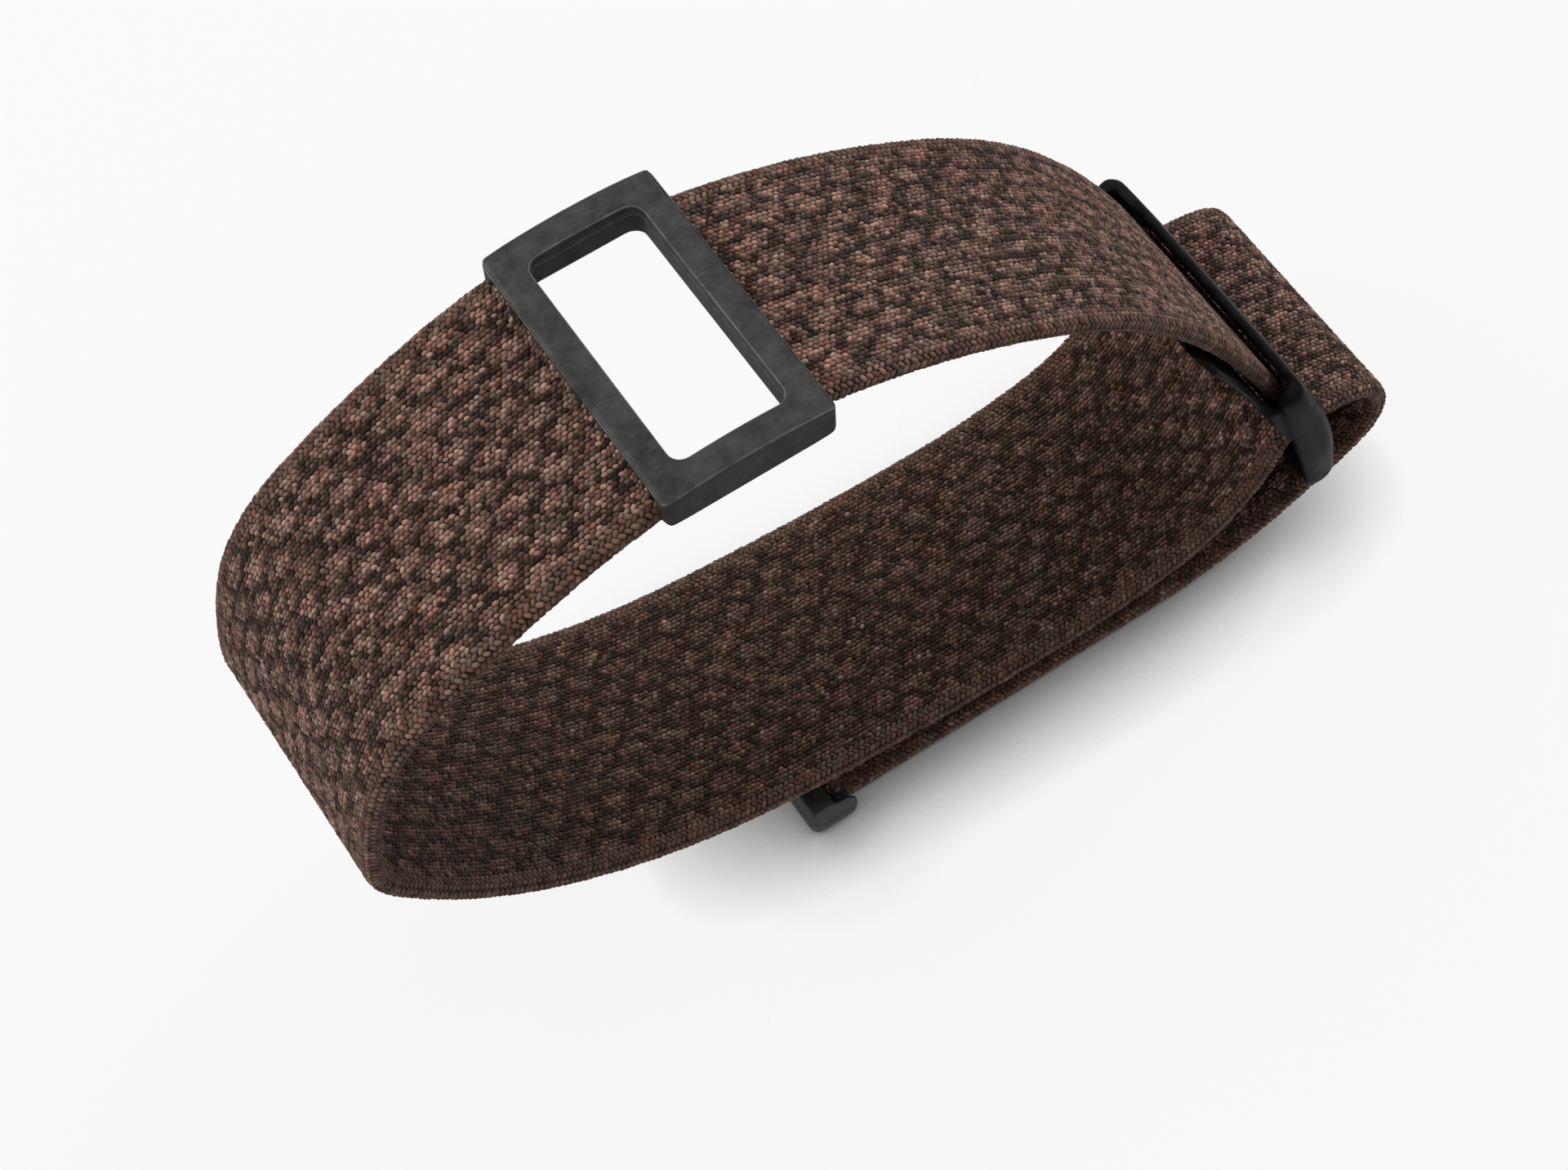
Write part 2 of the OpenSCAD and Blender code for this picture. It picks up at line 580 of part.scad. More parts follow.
pod_frame();
long_strap();
strap_tail();
short_strap();
ring_link();
end_clip();
hook_patch();
loop_patch();
left_barrel();
left_tip_near();
left_tip_far();
left_coil();
right_barrel();
right_tip_near();
right_tip_far();
right_coil();
ring_barrel();
ring_tip_near();
ring_tip_far();
ring_coil();
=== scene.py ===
"""Dresses the knitted fitness band over its CAD frame."""

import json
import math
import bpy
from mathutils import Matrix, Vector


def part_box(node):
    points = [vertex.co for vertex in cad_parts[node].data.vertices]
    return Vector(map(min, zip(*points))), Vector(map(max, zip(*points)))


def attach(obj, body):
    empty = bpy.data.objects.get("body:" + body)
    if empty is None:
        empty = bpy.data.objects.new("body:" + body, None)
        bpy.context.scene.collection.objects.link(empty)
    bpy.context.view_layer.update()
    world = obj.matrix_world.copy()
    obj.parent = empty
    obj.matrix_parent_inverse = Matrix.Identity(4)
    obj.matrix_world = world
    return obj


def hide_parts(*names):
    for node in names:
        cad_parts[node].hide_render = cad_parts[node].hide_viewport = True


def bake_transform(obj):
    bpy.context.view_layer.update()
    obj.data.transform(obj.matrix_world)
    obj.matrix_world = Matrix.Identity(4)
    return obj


bl_info = {
    "name": "Fitness Band Dressing",
    "version": (1, 0, 0),
    "blender": (4, 5, 0),
    "location": "View3D > Sidebar > Band",
    "description": "Knitted straps, satin hardware and a plain studio for an adjustable wrist band",
    "category": "Object",
}

from collections import namedtuple

import bmesh
import bpy
import numpy as np
from bpy.props import (
    FloatProperty,
    FloatVectorProperty,
    IntProperty,
    PointerProperty,
)
from mathutils import Matrix, Vector

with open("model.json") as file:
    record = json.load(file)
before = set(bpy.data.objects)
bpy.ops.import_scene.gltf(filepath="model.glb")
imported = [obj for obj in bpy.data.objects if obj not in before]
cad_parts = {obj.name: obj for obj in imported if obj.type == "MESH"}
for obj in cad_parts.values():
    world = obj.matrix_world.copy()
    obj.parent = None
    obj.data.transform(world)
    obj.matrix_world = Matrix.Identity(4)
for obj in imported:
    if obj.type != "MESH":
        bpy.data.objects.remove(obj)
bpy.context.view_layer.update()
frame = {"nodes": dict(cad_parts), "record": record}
MM = 0.001


# Settings

def number_setting(name, text, value):
    return FloatProperty(name=name, description=text, default=value)


def length_setting(name, text, millimetres):
    return FloatProperty(name=name, description=text, default=millimetres * MM, subtype="DISTANCE")


def angle_setting(name, text, degrees):
    return FloatProperty(name=name, description=text, default=math.radians(degrees), subtype="ANGLE")


def colour_setting(name, text, *rgb):
    return FloatVectorProperty(name=name, description=text, default=rgb, size=3, subtype="COLOR")


class BAND_PG_knit(bpy.types.PropertyGroup):
    """Sizes and colours of the knitted cloth"""

    strap_width: length_setting("Strap width", "Width of the long strap", 22)
    short_width: length_setting("Short strap width", "Width of the short strap and the necks", 19.6)
    thickness: length_setting("Thickness", "Thickness of the cloth over its stitches", 1.6)
    edge_radius: length_setting("Edge radius", "Rounding of the woven edges", 0.55)
    stitch_pitch: length_setting("Stitch pitch", "Distance between stitches along the strap", 0.45)
    row_pitch: length_setting("Row pitch", "Distance between rows across the strap", 0.34)
    stitch_height: length_setting("Stitch height", "How far a stitch stands out of the cloth", 0.19)
    slant: angle_setting("Slant", "Lean of the stitches, alternating by row", 17)
    edge_band: length_setting("Braided edge", "Width of the plaited rows beside each edge", 0.6)
    edge_pitch: length_setting("Edge pitch", "Distance between the plaited edge's stitches", 0.52)
    tuft_length: length_setting("Light patch spacing", "Distance between light patches along the strap", 3.62)
    tuft_row: length_setting("Light patch rows", "Distance between rows of light patches", 1.83)
    seed: IntProperty(name="Seed", description="Seed of the stitches' small irregularities", default=7)
    dark: colour_setting("Dark yarn", "Colour of the darkest stitches", 0.030, 0.0170, 0.0095)
    middle: colour_setting("Middle yarn", "Colour of the brown stitches", 0.145, 0.081, 0.057)
    light: colour_setting("Light yarn", "Colour of the lightest stitches", 0.39, 0.222, 0.168)


class BAND_PG_metal(bpy.types.PropertyGroup):
    """Finishes of the hard pieces"""

    frame_colour: colour_setting("Frame colour", "Satin coat of the sensor frame", 0.044, 0.0435, 0.043)
    ring_colour: colour_setting("Ring colour", "Black coat of the ring", 0.0072, 0.0073, 0.0075)
    # Partly real wear and partly painted highlight: the frame's broken edges are lighter than its coat
    wear_and_highlight_colour: colour_setting("Worn and highlit edge colour", "Where the frame's coat is thin", 0.095, 0.094, 0.092)
    # Painted highlight: the clip's coat is lighter than the ring's, for the light on its top
    clip_highlight_lift: number_setting("Clip lightness", "How much lighter the clip's coat is than the ring's", 4.2)
    edge_break: length_setting("Edge break", "Rounding of the sensor frame's edges", 0.09)
    grain: length_setting("Casting grain", "Finest detail kept on the ring and the clip", 0.165)
    soften: IntProperty(
        name="Softening", description="How often the ring's edges are smoothed, twice the clip's", default=18
    )


class BAND_PG_studio(bpy.types.PropertyGroup):
    """Camera and light"""

    focal_px: number_setting("Focal length in pixels", "For an image 1920 pixels wide", 3772.9)
    azimuth: angle_setting("Azimuth", "Turn of the camera", -29.11)
    elevation: angle_setting("Elevation", "Height angle of the camera", 61.264)
    roll: angle_setting("Roll", "Roll of the camera", -4.821)
    place: FloatVectorProperty(
        name="Place", description="Place of the camera", default=(-0.061351, -0.100109, 0.226706), size=3,
        subtype="XYZ",
    )
    sky: number_setting("Sky", "Strength of the even light", 0.68)
    lamp: FloatProperty(
        name="Lamps", description="Power of each large soft lamp", default=2.1, subtype="POWER"
    )
    paper: number_setting("Paper", "Lightness of the floor's own colour", 0.08)
    glow: number_setting("Paper glow", "Light of the floor as the camera sees it", 0.86)
    bounce: number_setting("Paper bounce", "Share of the floor's light that reaches the band", 0.8)
    contact: length_setting("Contact shade", "Reach of the soft shade where the band meets the floor", 9)


# The strap's mid-line, in millimetres: arcs of length and turn as in the part's source

START_HEADING = 190.56
HOOP_ARCS = (
    (6.6, 10.14), (13.4, 13.7), (10.1, 38.0), (8.7, 13.3), (4.3, 33.8), (9.0, 10.3),
    (18.3, 22.4), (15.8, 19.1), (23.9, 7.7), (11.0, 15.1), (14.0, 57.3),
)
INTO_FOLD = ((4.4, -73.7), (4.0, -13.2))
FOLD_RADIUS, FOLD_TURN = 4.6, -128.7
OUT_OF_FOLD = (10.6, -14.7)
LEVELLING = 11.1
TAIL_FLAT, PAST_CLIP_BAR = 30.3, 1.0
# The short strap's middle point beyond and beside the line between its bars, and its three headings
SHORT_MID, SHORT_RISE = 22.5, 7.2
SHORT_START, SHORT_MID_TURN, SHORT_END = -12.4, 7.8, -65.0
# Lengths from the left bar: the neck's end at the frame, the start of the fold and the tail's start
NECK, CREST, SPLIT = 0.733, 139.5, 166.0
# The hoop's cloth leaves room for the frame's rocking, and its stitches reach under the frame's lip
ROCK_ROOM, TUCK = 0.09, 0.25
# How far the stitches stop before a strap's end
STITCH_STOP = 0.3
# A sewn end loop: its radius, its bore and half its width, round a spring bar and round the clip's bar
BAR_LOOP = (0.95, 0.6, 9.8)
CLIP_LOOP = (0.87, 0.66, 10.9)


def unit(h):
    return np.array([math.cos(math.radians(h)), math.sin(math.radians(h))])


class Run:
    """A mid-line in the X Z plane with its length, points, headings and outward side"""

    def __init__(self, points, headings, outward):
        self.p = np.array(points)
        self.h = np.unwrap(np.radians(np.array(headings)))
        self.s = np.concatenate([[0], np.cumsum(np.hypot(*np.diff(self.p, axis=0).T))])
        self.out = outward

    @property
    def length(self):
        return float(self.s[-1])

    def at(self, s):
        """Points, directions along the strap and outward normals at lengths s"""
        h = np.interp(s, self.s, self.h)
        x, z = np.interp(s, self.s, self.p[:, 0]), np.interp(s, self.s, self.p[:, 1])
        along = np.stack([np.cos(h), np.sin(h)], -1)
        normal = self.out * np.stack([-np.sin(h), np.cos(h)], -1)
        return np.stack([x, z], -1), along, normal


def long_run():
    """The long strap from the frame's left bar to the end of the flat tail"""
    arcs = [*HOOP_ARCS, *INTO_FOLD, (FOLD_RADIUS * math.radians(abs(FOLD_TURN)), FOLD_TURN), OUT_OF_FOLD]
    turned = START_HEADING + sum(a[1] for a in arcs)
    arcs += [(LEVELLING, 180 - turned), (TAIL_FLAT + PAST_CLIP_BAR, 0.0)]
    p, h = np.zeros(2), START_HEADING
    points, headings = [p], [h]
    for length, turn in arcs:
        n = max(2, int(length / 0.2))
        for i in range(n):
            step, bend = length / n, turn / n
            p = p + step * unit(h + bend / 2)
            h += bend
            points.append(p)
            headings.append(h)
    points = np.array(points)
    return Run(points + bar_at("left_barrel"), headings, -1.0)


def bar_at(node):
    low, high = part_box(node)
    return np.array([(low.x + high.x) / 2, (low.z + high.z) / 2]) / MM


def joint_at(name):
    """Where a joint turns, in metres"""
    return [j for j in frame["record"]["behaviour"]["joints"] if j["name"] == name][0]["pos_m"]


def short_run():
    """The short strap from the frame's right bar to the ring's bar"""
    a, b = bar_at("right_barrel"), bar_at("ring_barrel")
    d = (b - a) / np.hypot(*(b - a))
    heading = math.degrees(math.atan2(d[1], d[0]))
    mid = a + SHORT_MID * d + SHORT_RISE * np.array([-d[1], d[0]])
    turned = heading + SHORT_MID_TURN
    points, headings = [], []
    for p, hp, q, hq in ((a, SHORT_START, mid, turned), (mid, turned, b, SHORT_END)):
        arm = np.hypot(*(q - p)) / 3 / math.cos(math.radians((hq - hp) / 4)) ** 2
        p1, p2 = p + arm * unit(hp), q - arm * unit(hq)
        for t in np.linspace(0, 1, 120)[(1 if points else 0):]:
            u = 1 - t
            points.append(u**3 * p + 3 * u * u * t * p1 + 3 * u * t * t * p2 + t**3 * q)
            v = u * u * (p1 - p) + 2 * u * t * (p2 - p1) + t * t * (q - p2)
            headings.append(math.degrees(math.atan2(v[1], v[0])))
    return Run(points, headings, 1.0)


def section(half_width, half_thick, radius, step=0.05):
    """Outline of the strap's cross-section: across and outward places, normals and lengths round it"""
    y, n, ny, nn = [], [], [], []
    w, t, r = half_width, half_thick, radius
    corners = ((w - r, t - r, 90), (w - r, -t + r, 0), (-w + r, -t + r, -90), (-w + r, t - r, -180))
    for cy, cn, start in corners:
        for k in range(13):
            a = math.radians(start - 90 * k / 12)
            y.append(cy + r * math.cos(a))
            n.append(cn + r * math.sin(a))
            ny.append(math.cos(a))
            nn.append(math.sin(a))
    for v in (y, n, ny, nn):
        v.append(v[0])
    y, n, ny, nn = map(np.array, (y, n, ny, nn))
    around = np.concatenate([[0], np.cumsum(np.hypot(np.diff(y), np.diff(n)))])
    return y, n, ny, nn, around


def place(run, s, y, n):
    """World points in metres for a length s, a place y across and a height n outward"""
    p, _, normal = run.at(s)
    q = p + normal * np.asarray(n)[..., None]
    return np.stack([q[..., 0], np.broadcast_to(y, q[..., 0].shape), q[..., 1]], -1) * MM


def new_object(name, verts, faces, material=None, smooth=True):
    mesh = bpy.data.meshes.new(name)
    mesh.from_pydata([tuple(v) for v in verts], [], [tuple(f) for f in faces])
    mesh.validate()
    mesh.polygons.foreach_set("use_smooth", [smooth] * len(mesh.polygons))
    if material:
        mesh.materials.append(material)
    return link_data(name, mesh)


def link_data(name, data):
    """An object in the scene for a mesh, a lamp or a camera"""
    obj = bpy.data.objects.new(name, data)
    bpy.context.scene.collection.objects.link(obj)
    return obj


# Node helpers

def feed(tree, socket, value):
    """Links a socket to another node's output, or gives it a plain value"""
    if isinstance(value, bpy.types.NodeSocket):
        tree.links.new(value, socket)
    elif socket.type == "RGBA":
        socket.default_value = (*value[:3], 1.0)
    else:
        socket.default_value = value


def add(tree, kind, sockets=None, **settings):
    """A new node with its settings, and its inputs' values or links"""
    node = tree.nodes.new(kind)
    for key, value in settings.items():
        setattr(node, key, value)
    for key, value in (sockets or {}).items():
        feed(tree, node.inputs[key], value)
    return node


def math_node(tree, operation, *terms, clamp=False):
    """The result of a sum, a product or the like of plain numbers and sockets"""
    node = add(tree, "ShaderNodeMath", operation=operation, use_clamp=clamp)
    for socket, value in zip(node.inputs, terms):
        feed(tree, socket, value)
    return node.outputs[0]


def times(tree, value, factor, plus=None, clamp=False):
    """A product, with a further term where one is given"""
    if plus is None:
        return math_node(tree, "MULTIPLY", value, factor)
    return math_node(tree, "MULTIPLY_ADD", value, factor, plus, clamp=clamp)


def new_group(name, inputs, outputs, kind="ShaderNodeTree"):
    """An empty group, each input given by its first value or by its kind, and each output by its kind"""
    tree = bpy.data.node_groups.new(name, kind)
    for label, first in inputs.items():
        socket = first if isinstance(first, str) else {float: "Float", int: "Int"}[type(first)]
        item = tree.interface.new_socket(label, in_out="INPUT", socket_type="NodeSocket" + socket)
        if socket != first:
            item.default_value = first
    for label, socket in outputs.items():
        tree.interface.new_socket(label, in_out="OUTPUT", socket_type="NodeSocket" + socket)
    return tree, tree.nodes.new("NodeGroupInput").outputs, tree.nodes.new("NodeGroupOutput").inputs


def shared(name, maker):
    """A node group that is made once"""
    return bpy.data.node_groups.get(name) or maker(name)


def new_material(name, **values):
    """A material, its node tree and its shader's inputs, with some of their values set"""
    mat = bpy.data.materials.new(name)
    mat.use_nodes = True
    inputs = mat.node_tree.nodes["Principled BSDF"].inputs
    for key, value in values.items():
        feed(mat.node_tree, inputs[key.replace("_", " ")], value)
    return mat, mat.node_tree, inputs


# Shared shader groups

def noise(tree, vector, scale, detail, **sockets):
    """A noise texture's value"""
    values = {"Vector": vector, "Scale": scale, "Detail": detail, **sockets}
    return add(tree, "ShaderNodeTexNoise", values).outputs["Fac"]


def bump(tree, height, strength, distance):
    """A height as a normal"""
    values = {"Height": height, "Strength": strength, "Distance": distance}
    return add(tree, "ShaderNodeBump", values).outputs[0]


def heather_group(name):
    """Yarn colour of each stitch, from its tone and two chance values, with painted shade down its sides"""
    tree, inp, out = new_group(
        name,
        {"Yarn": "Vector", "Rise": 1.0, "Dark": "Color", "Middle": "Color", "Light": "Color"},
        {"Color": "Color"},
    )
    tone, luck, shade = add(tree, "ShaderNodeSeparateXYZ", {"Vector": inp["Yarn"]}).outputs
    colour = inp["Dark"]
    for lighter, start, end in (("Middle", 0.12, 0.55), ("Light", 0.45, 0.95)):
        values = {"Value": tone, "From Min": start, "From Max": end}
        ramp = add(tree, "ShaderNodeMapRange", values, interpolation_type="SMOOTHSTEP")
        values = {"Factor": ramp.outputs[0], "A": colour, "B": inp[lighter]}
        colour = add(tree, "ShaderNodeMix", values, data_type="RGBA").outputs["Result"]
    swing = math_node(tree, "SUBTRACT", luck, 0.5)
    # Painted shade: the lower a point lies on its stitch, the darker its yarn, as in the crevices between
    # stitches
    side = times(tree, inp["Rise"], 0.80, 0.24)
    values = {
        "Color": colour,
        "Hue": times(tree, swing, 0.022, 0.5),
        "Saturation": times(tree, swing, -0.3, 0.97),
        "Value": times(tree, times(tree, shade, 0.5, 0.75), side),
    }
    feed(tree, out["Color"], add(tree, "ShaderNodeHueSaturation", values).outputs[0])
    return tree


def yarn_group(name):
    """Fine fibres along a stitch, as a height"""
    tree, inp, out = new_group(name, {"Fineness": 9000.0}, {"Height": "Float"})
    where = add(tree, "ShaderNodeTexCoord").outputs["Object"]
    feed(tree, out["Height"], noise(tree, where, inp["Fineness"], 3.0, Distortion=0.6))
    return tree


def coat_group(name):
    """Mottled satin coat: a colour, a roughness and a height from fine grain, clouds and thin scratches"""
    tree, inp, out = new_group(
        name,
        {"Color": "Color", "Roughness": 0.5, "Mottle": 0.3, "Scratch": 0.3},
        {"Color": "Color", "Roughness": "Float", "Height": "Float"},
    )
    where = add(tree, "ShaderNodeTexCoord").outputs["Object"]
    values = {"Vector": where, "Rotation": (0.3, 0.5, 0.7), "Scale": (620.0, 6200.0, 3000.0)}
    stretched = add(tree, "ShaderNodeMapping", values).outputs[0]
    values = {"Value": noise(tree, stretched, 1.0, 1.0), "From Min": 0.69, "From Max": 0.76}
    cut = add(tree, "ShaderNodeMapRange", values).outputs[0]
    scratch = times(tree, cut, inp["Scratch"])
    cloud = math_node(tree, "SUBTRACT", noise(tree, where, 640.0, 5.0, Roughness=0.62), 0.5)
    swing = times(tree, cloud, inp["Mottle"])
    clouded = times(tree, swing, 4.0, 1.0)
    value = times(tree, scratch, 1.5, clouded)
    tint = add(tree, "ShaderNodeHueSaturation", {"Color": inp["Color"], "Value": value})
    rough = times(tree, swing, 0.6, inp["Roughness"])
    grain = times(tree, noise(tree, where, 5200.0, 2.0), 0.6)
    feed(tree, out["Color"], tint.outputs[0])
    feed(tree, out["Roughness"], times(tree, scratch, -0.2, rough, clamp=True))
    feed(tree, out["Height"], math_node(tree, "SUBTRACT", grain, scratch))
    return tree


# How rough, how mottled, how scratched and how glossy each coat is
COATS = {
    "Frame satin": (0.6, 0.5, 0.3, 0.05),
    # The frame's edges: partly real wear, partly a painted highlight
    "Frame satin worn and highlit": (0.45, 0.8, 0.6, 0.2),
    "Ring black": (0.38, 0.9, 0.15, 0.022),
    "Clip black": (0.3, 0.5, 0.2, 0.4),
    "Bar steel": (0.3, 0.15, 0.2, 0.5),
    "Patch tape": (0.85, 0.2, 0.0, 0.2),
    "Patch nylon": (0.5, 0.2, 0.0, 0.4),
}


def knit_material(name, shade=1.0):
    """Stitched yarn, coloured stitch by stitch"""
    found = bpy.data.materials.get(name)
    if found:
        return found
    k = bpy.context.scene.band_knit
    mat, tree, bsdf = new_material(
        name, Roughness=0.8, Specular_IOR_Level=0.1, Sheen_Weight=0.15, Sheen_Roughness=0.4
    )
    values = {
        "Yarn": add(tree, "ShaderNodeAttribute", attribute_name="yarn").outputs["Vector"],
        "Rise": add(tree, "ShaderNodeAttribute", attribute_name="rise").outputs["Fac"],
    }
    for key in ("dark", "middle", "light"):
        values[key.title()] = [c * shade for c in getattr(k, key)]
    heather = add(tree, "ShaderNodeGroup", values, node_tree=shared("Heather", heather_group))
    fibres = add(tree, "ShaderNodeGroup", node_tree=shared("Yarn Fibres", yarn_group))
    feed(tree, bsdf["Base Color"], heather.outputs["Color"])
    feed(tree, bsdf["Normal"], bump(tree, fibres.outputs["Height"], 0.35, 0.00004))
    return mat


def coat_material(name, colour, metallic=0.0):
    """Satin coat over metal"""
    roughness, mottle, scratch, gloss = COATS[name]
    mat, tree, bsdf = new_material(name, Specular_IOR_Level=gloss, Metallic=metallic)
    values = {"Color": colour, "Roughness": roughness, "Mottle": mottle, "Scratch": scratch}
    coat = add(tree, "ShaderNodeGroup", values, node_tree=shared("Satin Coat", coat_group)).outputs
    feed(tree, bsdf["Base Color"], coat["Color"])
    feed(tree, bsdf["Roughness"], coat["Roughness"])
    feed(tree, bsdf["Normal"], bump(tree, coat["Height"], 0.3, 0.00001))
    return mat


def seen_rays(tree):
    """1 for the rays that show the background: to the camera, in a reflection or through glass"""
    path = add(tree, "ShaderNodeLightPath").outputs
    seen = math_node(tree, "MAXIMUM", path["Is Camera Ray"], path["Is Glossy Ray"])
    return math_node(tree, "MAXIMUM", seen, path["Is Transmission Ray"])


def paper_material(s):
    """Pale paper that takes the band's shadow and shades softly where the band meets it"""
    mat, tree, bsdf = new_material(
        "Floor paper", Base_Color=[s.paper] * 3, Roughness=1.0, Specular_IOR_Level=0.0,
        Emission_Color=(1, 1, 1),
    )
    # The shade looks towards the light behind the band, so it falls on the near side
    toward = dict(zip("XYZ", Vector((0.15, 0.62, 0.77)).normalized()))
    values = {"Distance": s.contact, "Normal": add(tree, "ShaderNodeCombineXYZ", toward).outputs[0]}
    shade = add(tree, "ShaderNodeAmbientOcclusion", values, samples=12)
    open_sky = math_node(tree, "POWER", shade.outputs["AO"], 1.6)
    lit = times(tree, open_sky, math_node(tree, "MAXIMUM", seen_rays(tree), s.bounce))
    feed(tree, bsdf["Emission Strength"], times(tree, lit, s.glow))
    return mat


# Stitches and bristles

def named(tree, name):
    """A vector that the points carry"""
    return add(tree, "GeometryNodeInputNamedAttribute", {"Name": name}, data_type="FLOAT_VECTOR").outputs[0]


def chance(tree, low, high, seed):
    """A chance value for each point"""
    values = {2: low, 3: high, "Seed": seed}
    return add(tree, "FunctionNodeRandomValue", values).outputs[1]


def upright(tree):
    """The rotation that stands a shape up on the cloth"""
    values = {"Vector": named(tree, "cloth_normal")}
    return add(tree, "FunctionNodeAlignRotationToVector", values, axis="Z").outputs[0]


def spun(tree, rotation, spread, seed, tilt=0.0):
    """A rotation with some chance turn about its own upright, and a tilt"""
    angle = chance(tree, times(tree, spread, -1.0), spread, seed)
    euler = add(tree, "ShaderNodeCombineXYZ", {"Y": tilt, "Z": angle}).outputs[0]
    values = {"Rotation": rotation, "Rotate By": euler}
    return add(tree, "FunctionNodeRotateRotation", values, rotation_space="LOCAL").outputs[0]


def set_on_points(tree, inp, out, **sockets):
    """Sets a shape on every point, as one plain mesh of one material"""
    copies = add(tree, "GeometryNodeInstanceOnPoints", {"Points": inp["Geometry"], **sockets})
    real = add(tree, "GeometryNodeRealizeInstances", {0: copies.outputs[0]})
    values = {"Geometry": real.outputs[0], "Material": inp["Material"]}
    feed(tree, out["Geometry"], add(tree, "GeometryNodeSetMaterial", values).outputs[0])
    tree.is_modifier = True
    return tree


def stitch_tree(name):
    """Geometry Nodes: one half-round stitch on every point, turned to the cloth"""
    tree, inp, out = new_group(
        name,
        {
            "Geometry": "Geometry", "Stitch Length": 0.54 * MM, "Stitch Width": 0.46 * MM,
            "Stitch Height": 0.17 * MM, "Size Spread": 0.14, "Turn Spread": 0.25, "Tilt": 0.2, "Seed": 7,
            "Material": "Material",
        },
        {"Geometry": "Geometry"}, "GeometryNodeTree",
    )
    ball = add(tree, "GeometryNodeMeshUVSphere", {"Segments": 6, "Rings": 4, "Radius": 1.0}).outputs["Mesh"]
    spot = add(tree, "GeometryNodeInputPosition").outputs[0]
    level = add(tree, "ShaderNodeSeparateXYZ", {"Vector": spot}).outputs["Z"]
    below = add(tree, "FunctionNodeCompare", {0: level, 1: -0.1}, operation="LESS_THAN")
    values = {"Geometry": ball, "Selection": below.outputs[0]}
    half = add(tree, "GeometryNodeDeleteGeometry", values).outputs[0]
    # Each point's height on its stitch, which the yarn's colour turns into painted shade in the crevices
    values = {"Geometry": half, "Name": "rise", "Value": level}
    rise = add(tree, "GeometryNodeStoreNamedAttribute", values)
    smooth = add(tree, "GeometryNodeSetShadeSmooth", {"Geometry": rise.outputs[0]}).outputs[0]
    values = {"Rotation": upright(tree), "Vector": named(tree, "cloth_along")}
    turn = add(tree, "FunctionNodeAlignRotationToVector", values, axis="X", pivot_axis="Z").outputs[0]
    small, large = (math_node(tree, way, 1.0, inp["Size Spread"]) for way in ("SUBTRACT", "ADD"))
    grow = chance(tree, small, large, math_node(tree, "ADD", inp["Seed"], 11.0))
    values = {
        "X": times(tree, inp["Stitch Length"], 0.5),
        "Y": times(tree, inp["Stitch Width"], 0.5),
        "Z": inp["Stitch Height"],
    }
    size = add(tree, "ShaderNodeCombineXYZ", values).outputs[0]
    values = {0: size, 1: named(tree, "stitch_size")}
    fit = add(tree, "ShaderNodeVectorMath", values, operation="MULTIPLY").outputs[0]
    scale = add(tree, "ShaderNodeVectorMath", {0: fit, "Scale": grow}, operation="SCALE").outputs[0]
    spin = spun(tree, turn, inp["Turn Spread"], inp["Seed"], inp["Tilt"])
    return set_on_points(tree, inp, out, Instance=smooth, Rotation=spin, Scale=scale)


def pile_tree(name):
    """Geometry Nodes: a small bent bristle on every point of a patch"""
    tree, inp, out = new_group(
        name,
        {
            "Geometry": "Geometry", "Bristle Span": 0.5 * MM, "Bristle Height": 0.4 * MM,
            "Bristle Thickness": 0.07 * MM, "Sweep": math.pi, "Turn Spread": 0.3, "Seed": 3,
            "Material": "Material",
        },
        {"Geometry": "Geometry"}, "GeometryNodeTree",
    )
    values = {"Resolution": 7, "Radius": 1.0, "Sweep Angle": inp["Sweep"]}
    arc = add(tree, "GeometryNodeCurveArc", values).outputs["Curve"]
    half = times(tree, inp["Bristle Span"], 0.5)
    shape = add(tree, "ShaderNodeCombineXYZ", {"X": half, "Y": inp["Bristle Height"], "Z": half}).outputs[0]
    values = {"Geometry": arc, "Rotation": (math.pi / 2, 0, 0), "Scale": shape}
    stand = add(tree, "GeometryNodeTransform", values).outputs[0]
    values = {"Resolution": 4, "Radius": times(tree, inp["Bristle Thickness"], 0.5)}
    wiry = add(tree, "GeometryNodeCurvePrimitiveCircle", values).outputs["Curve"]
    values = {"Curve": stand, "Profile Curve": wiry, "Fill Caps": True}
    tube = add(tree, "GeometryNodeCurveToMesh", values).outputs[0]
    spin = spun(tree, upright(tree), inp["Turn Spread"], inp["Seed"])
    return set_on_points(tree, inp, out, Instance=tube, Rotation=spin)


def grow_on_points(name, points, attributes, tree, **inputs):
    """Runs a Geometry Nodes tree on bare points and returns the result as a plain mesh object"""
    mesh = bpy.data.meshes.new(name + "_points")
    mesh.from_pydata([tuple(p) for p in points.reshape(-1, 3)], [], [])
    for key, data in attributes.items():
        layer = mesh.attributes.new(key, "FLOAT_VECTOR", "POINT")
        layer.data.foreach_set("vector", np.asarray(data, np.float32).ravel())
    seed_obj = link_data(name + "_points", mesh)
    mod = seed_obj.modifiers.new("Stitches", "NODES")
    mod.node_group = tree
    items = [i for i in tree.interface.items_tree if i.item_type == "SOCKET" and i.in_out == "INPUT"]
    sockets = {i.name: i.identifier for i in items}
    for key, value in inputs.items():
        mod[sockets[key.replace("_", " ")]] = value
    result = plain_mesh(seed_obj, name)
    bpy.data.meshes.remove(mesh)
    for key in ("cloth_normal", "cloth_along", "stitch_size"):
        if key in result.attributes:
            result.attributes.remove(result.attributes[key])
    return link_data(name, result)


def dress(mesh, *materials):
    """Gives a mesh these materials alone"""
    mesh.materials.clear()
    for material in materials:
        mesh.materials.append(material)


def plain_mesh(obj, name):
    """The mesh that an object's modifiers make, without the object"""
    graph = bpy.context.evaluated_depsgraph_get()
    result = bpy.data.meshes.new_from_object(obj.evaluated_get(graph), depsgraph=graph)
    bpy.data.objects.remove(obj)
    if not result.polygons:
        raise RuntimeError(f"{name}: the mesh came out empty")
    result.name = name
    return result


# Knit and cloth

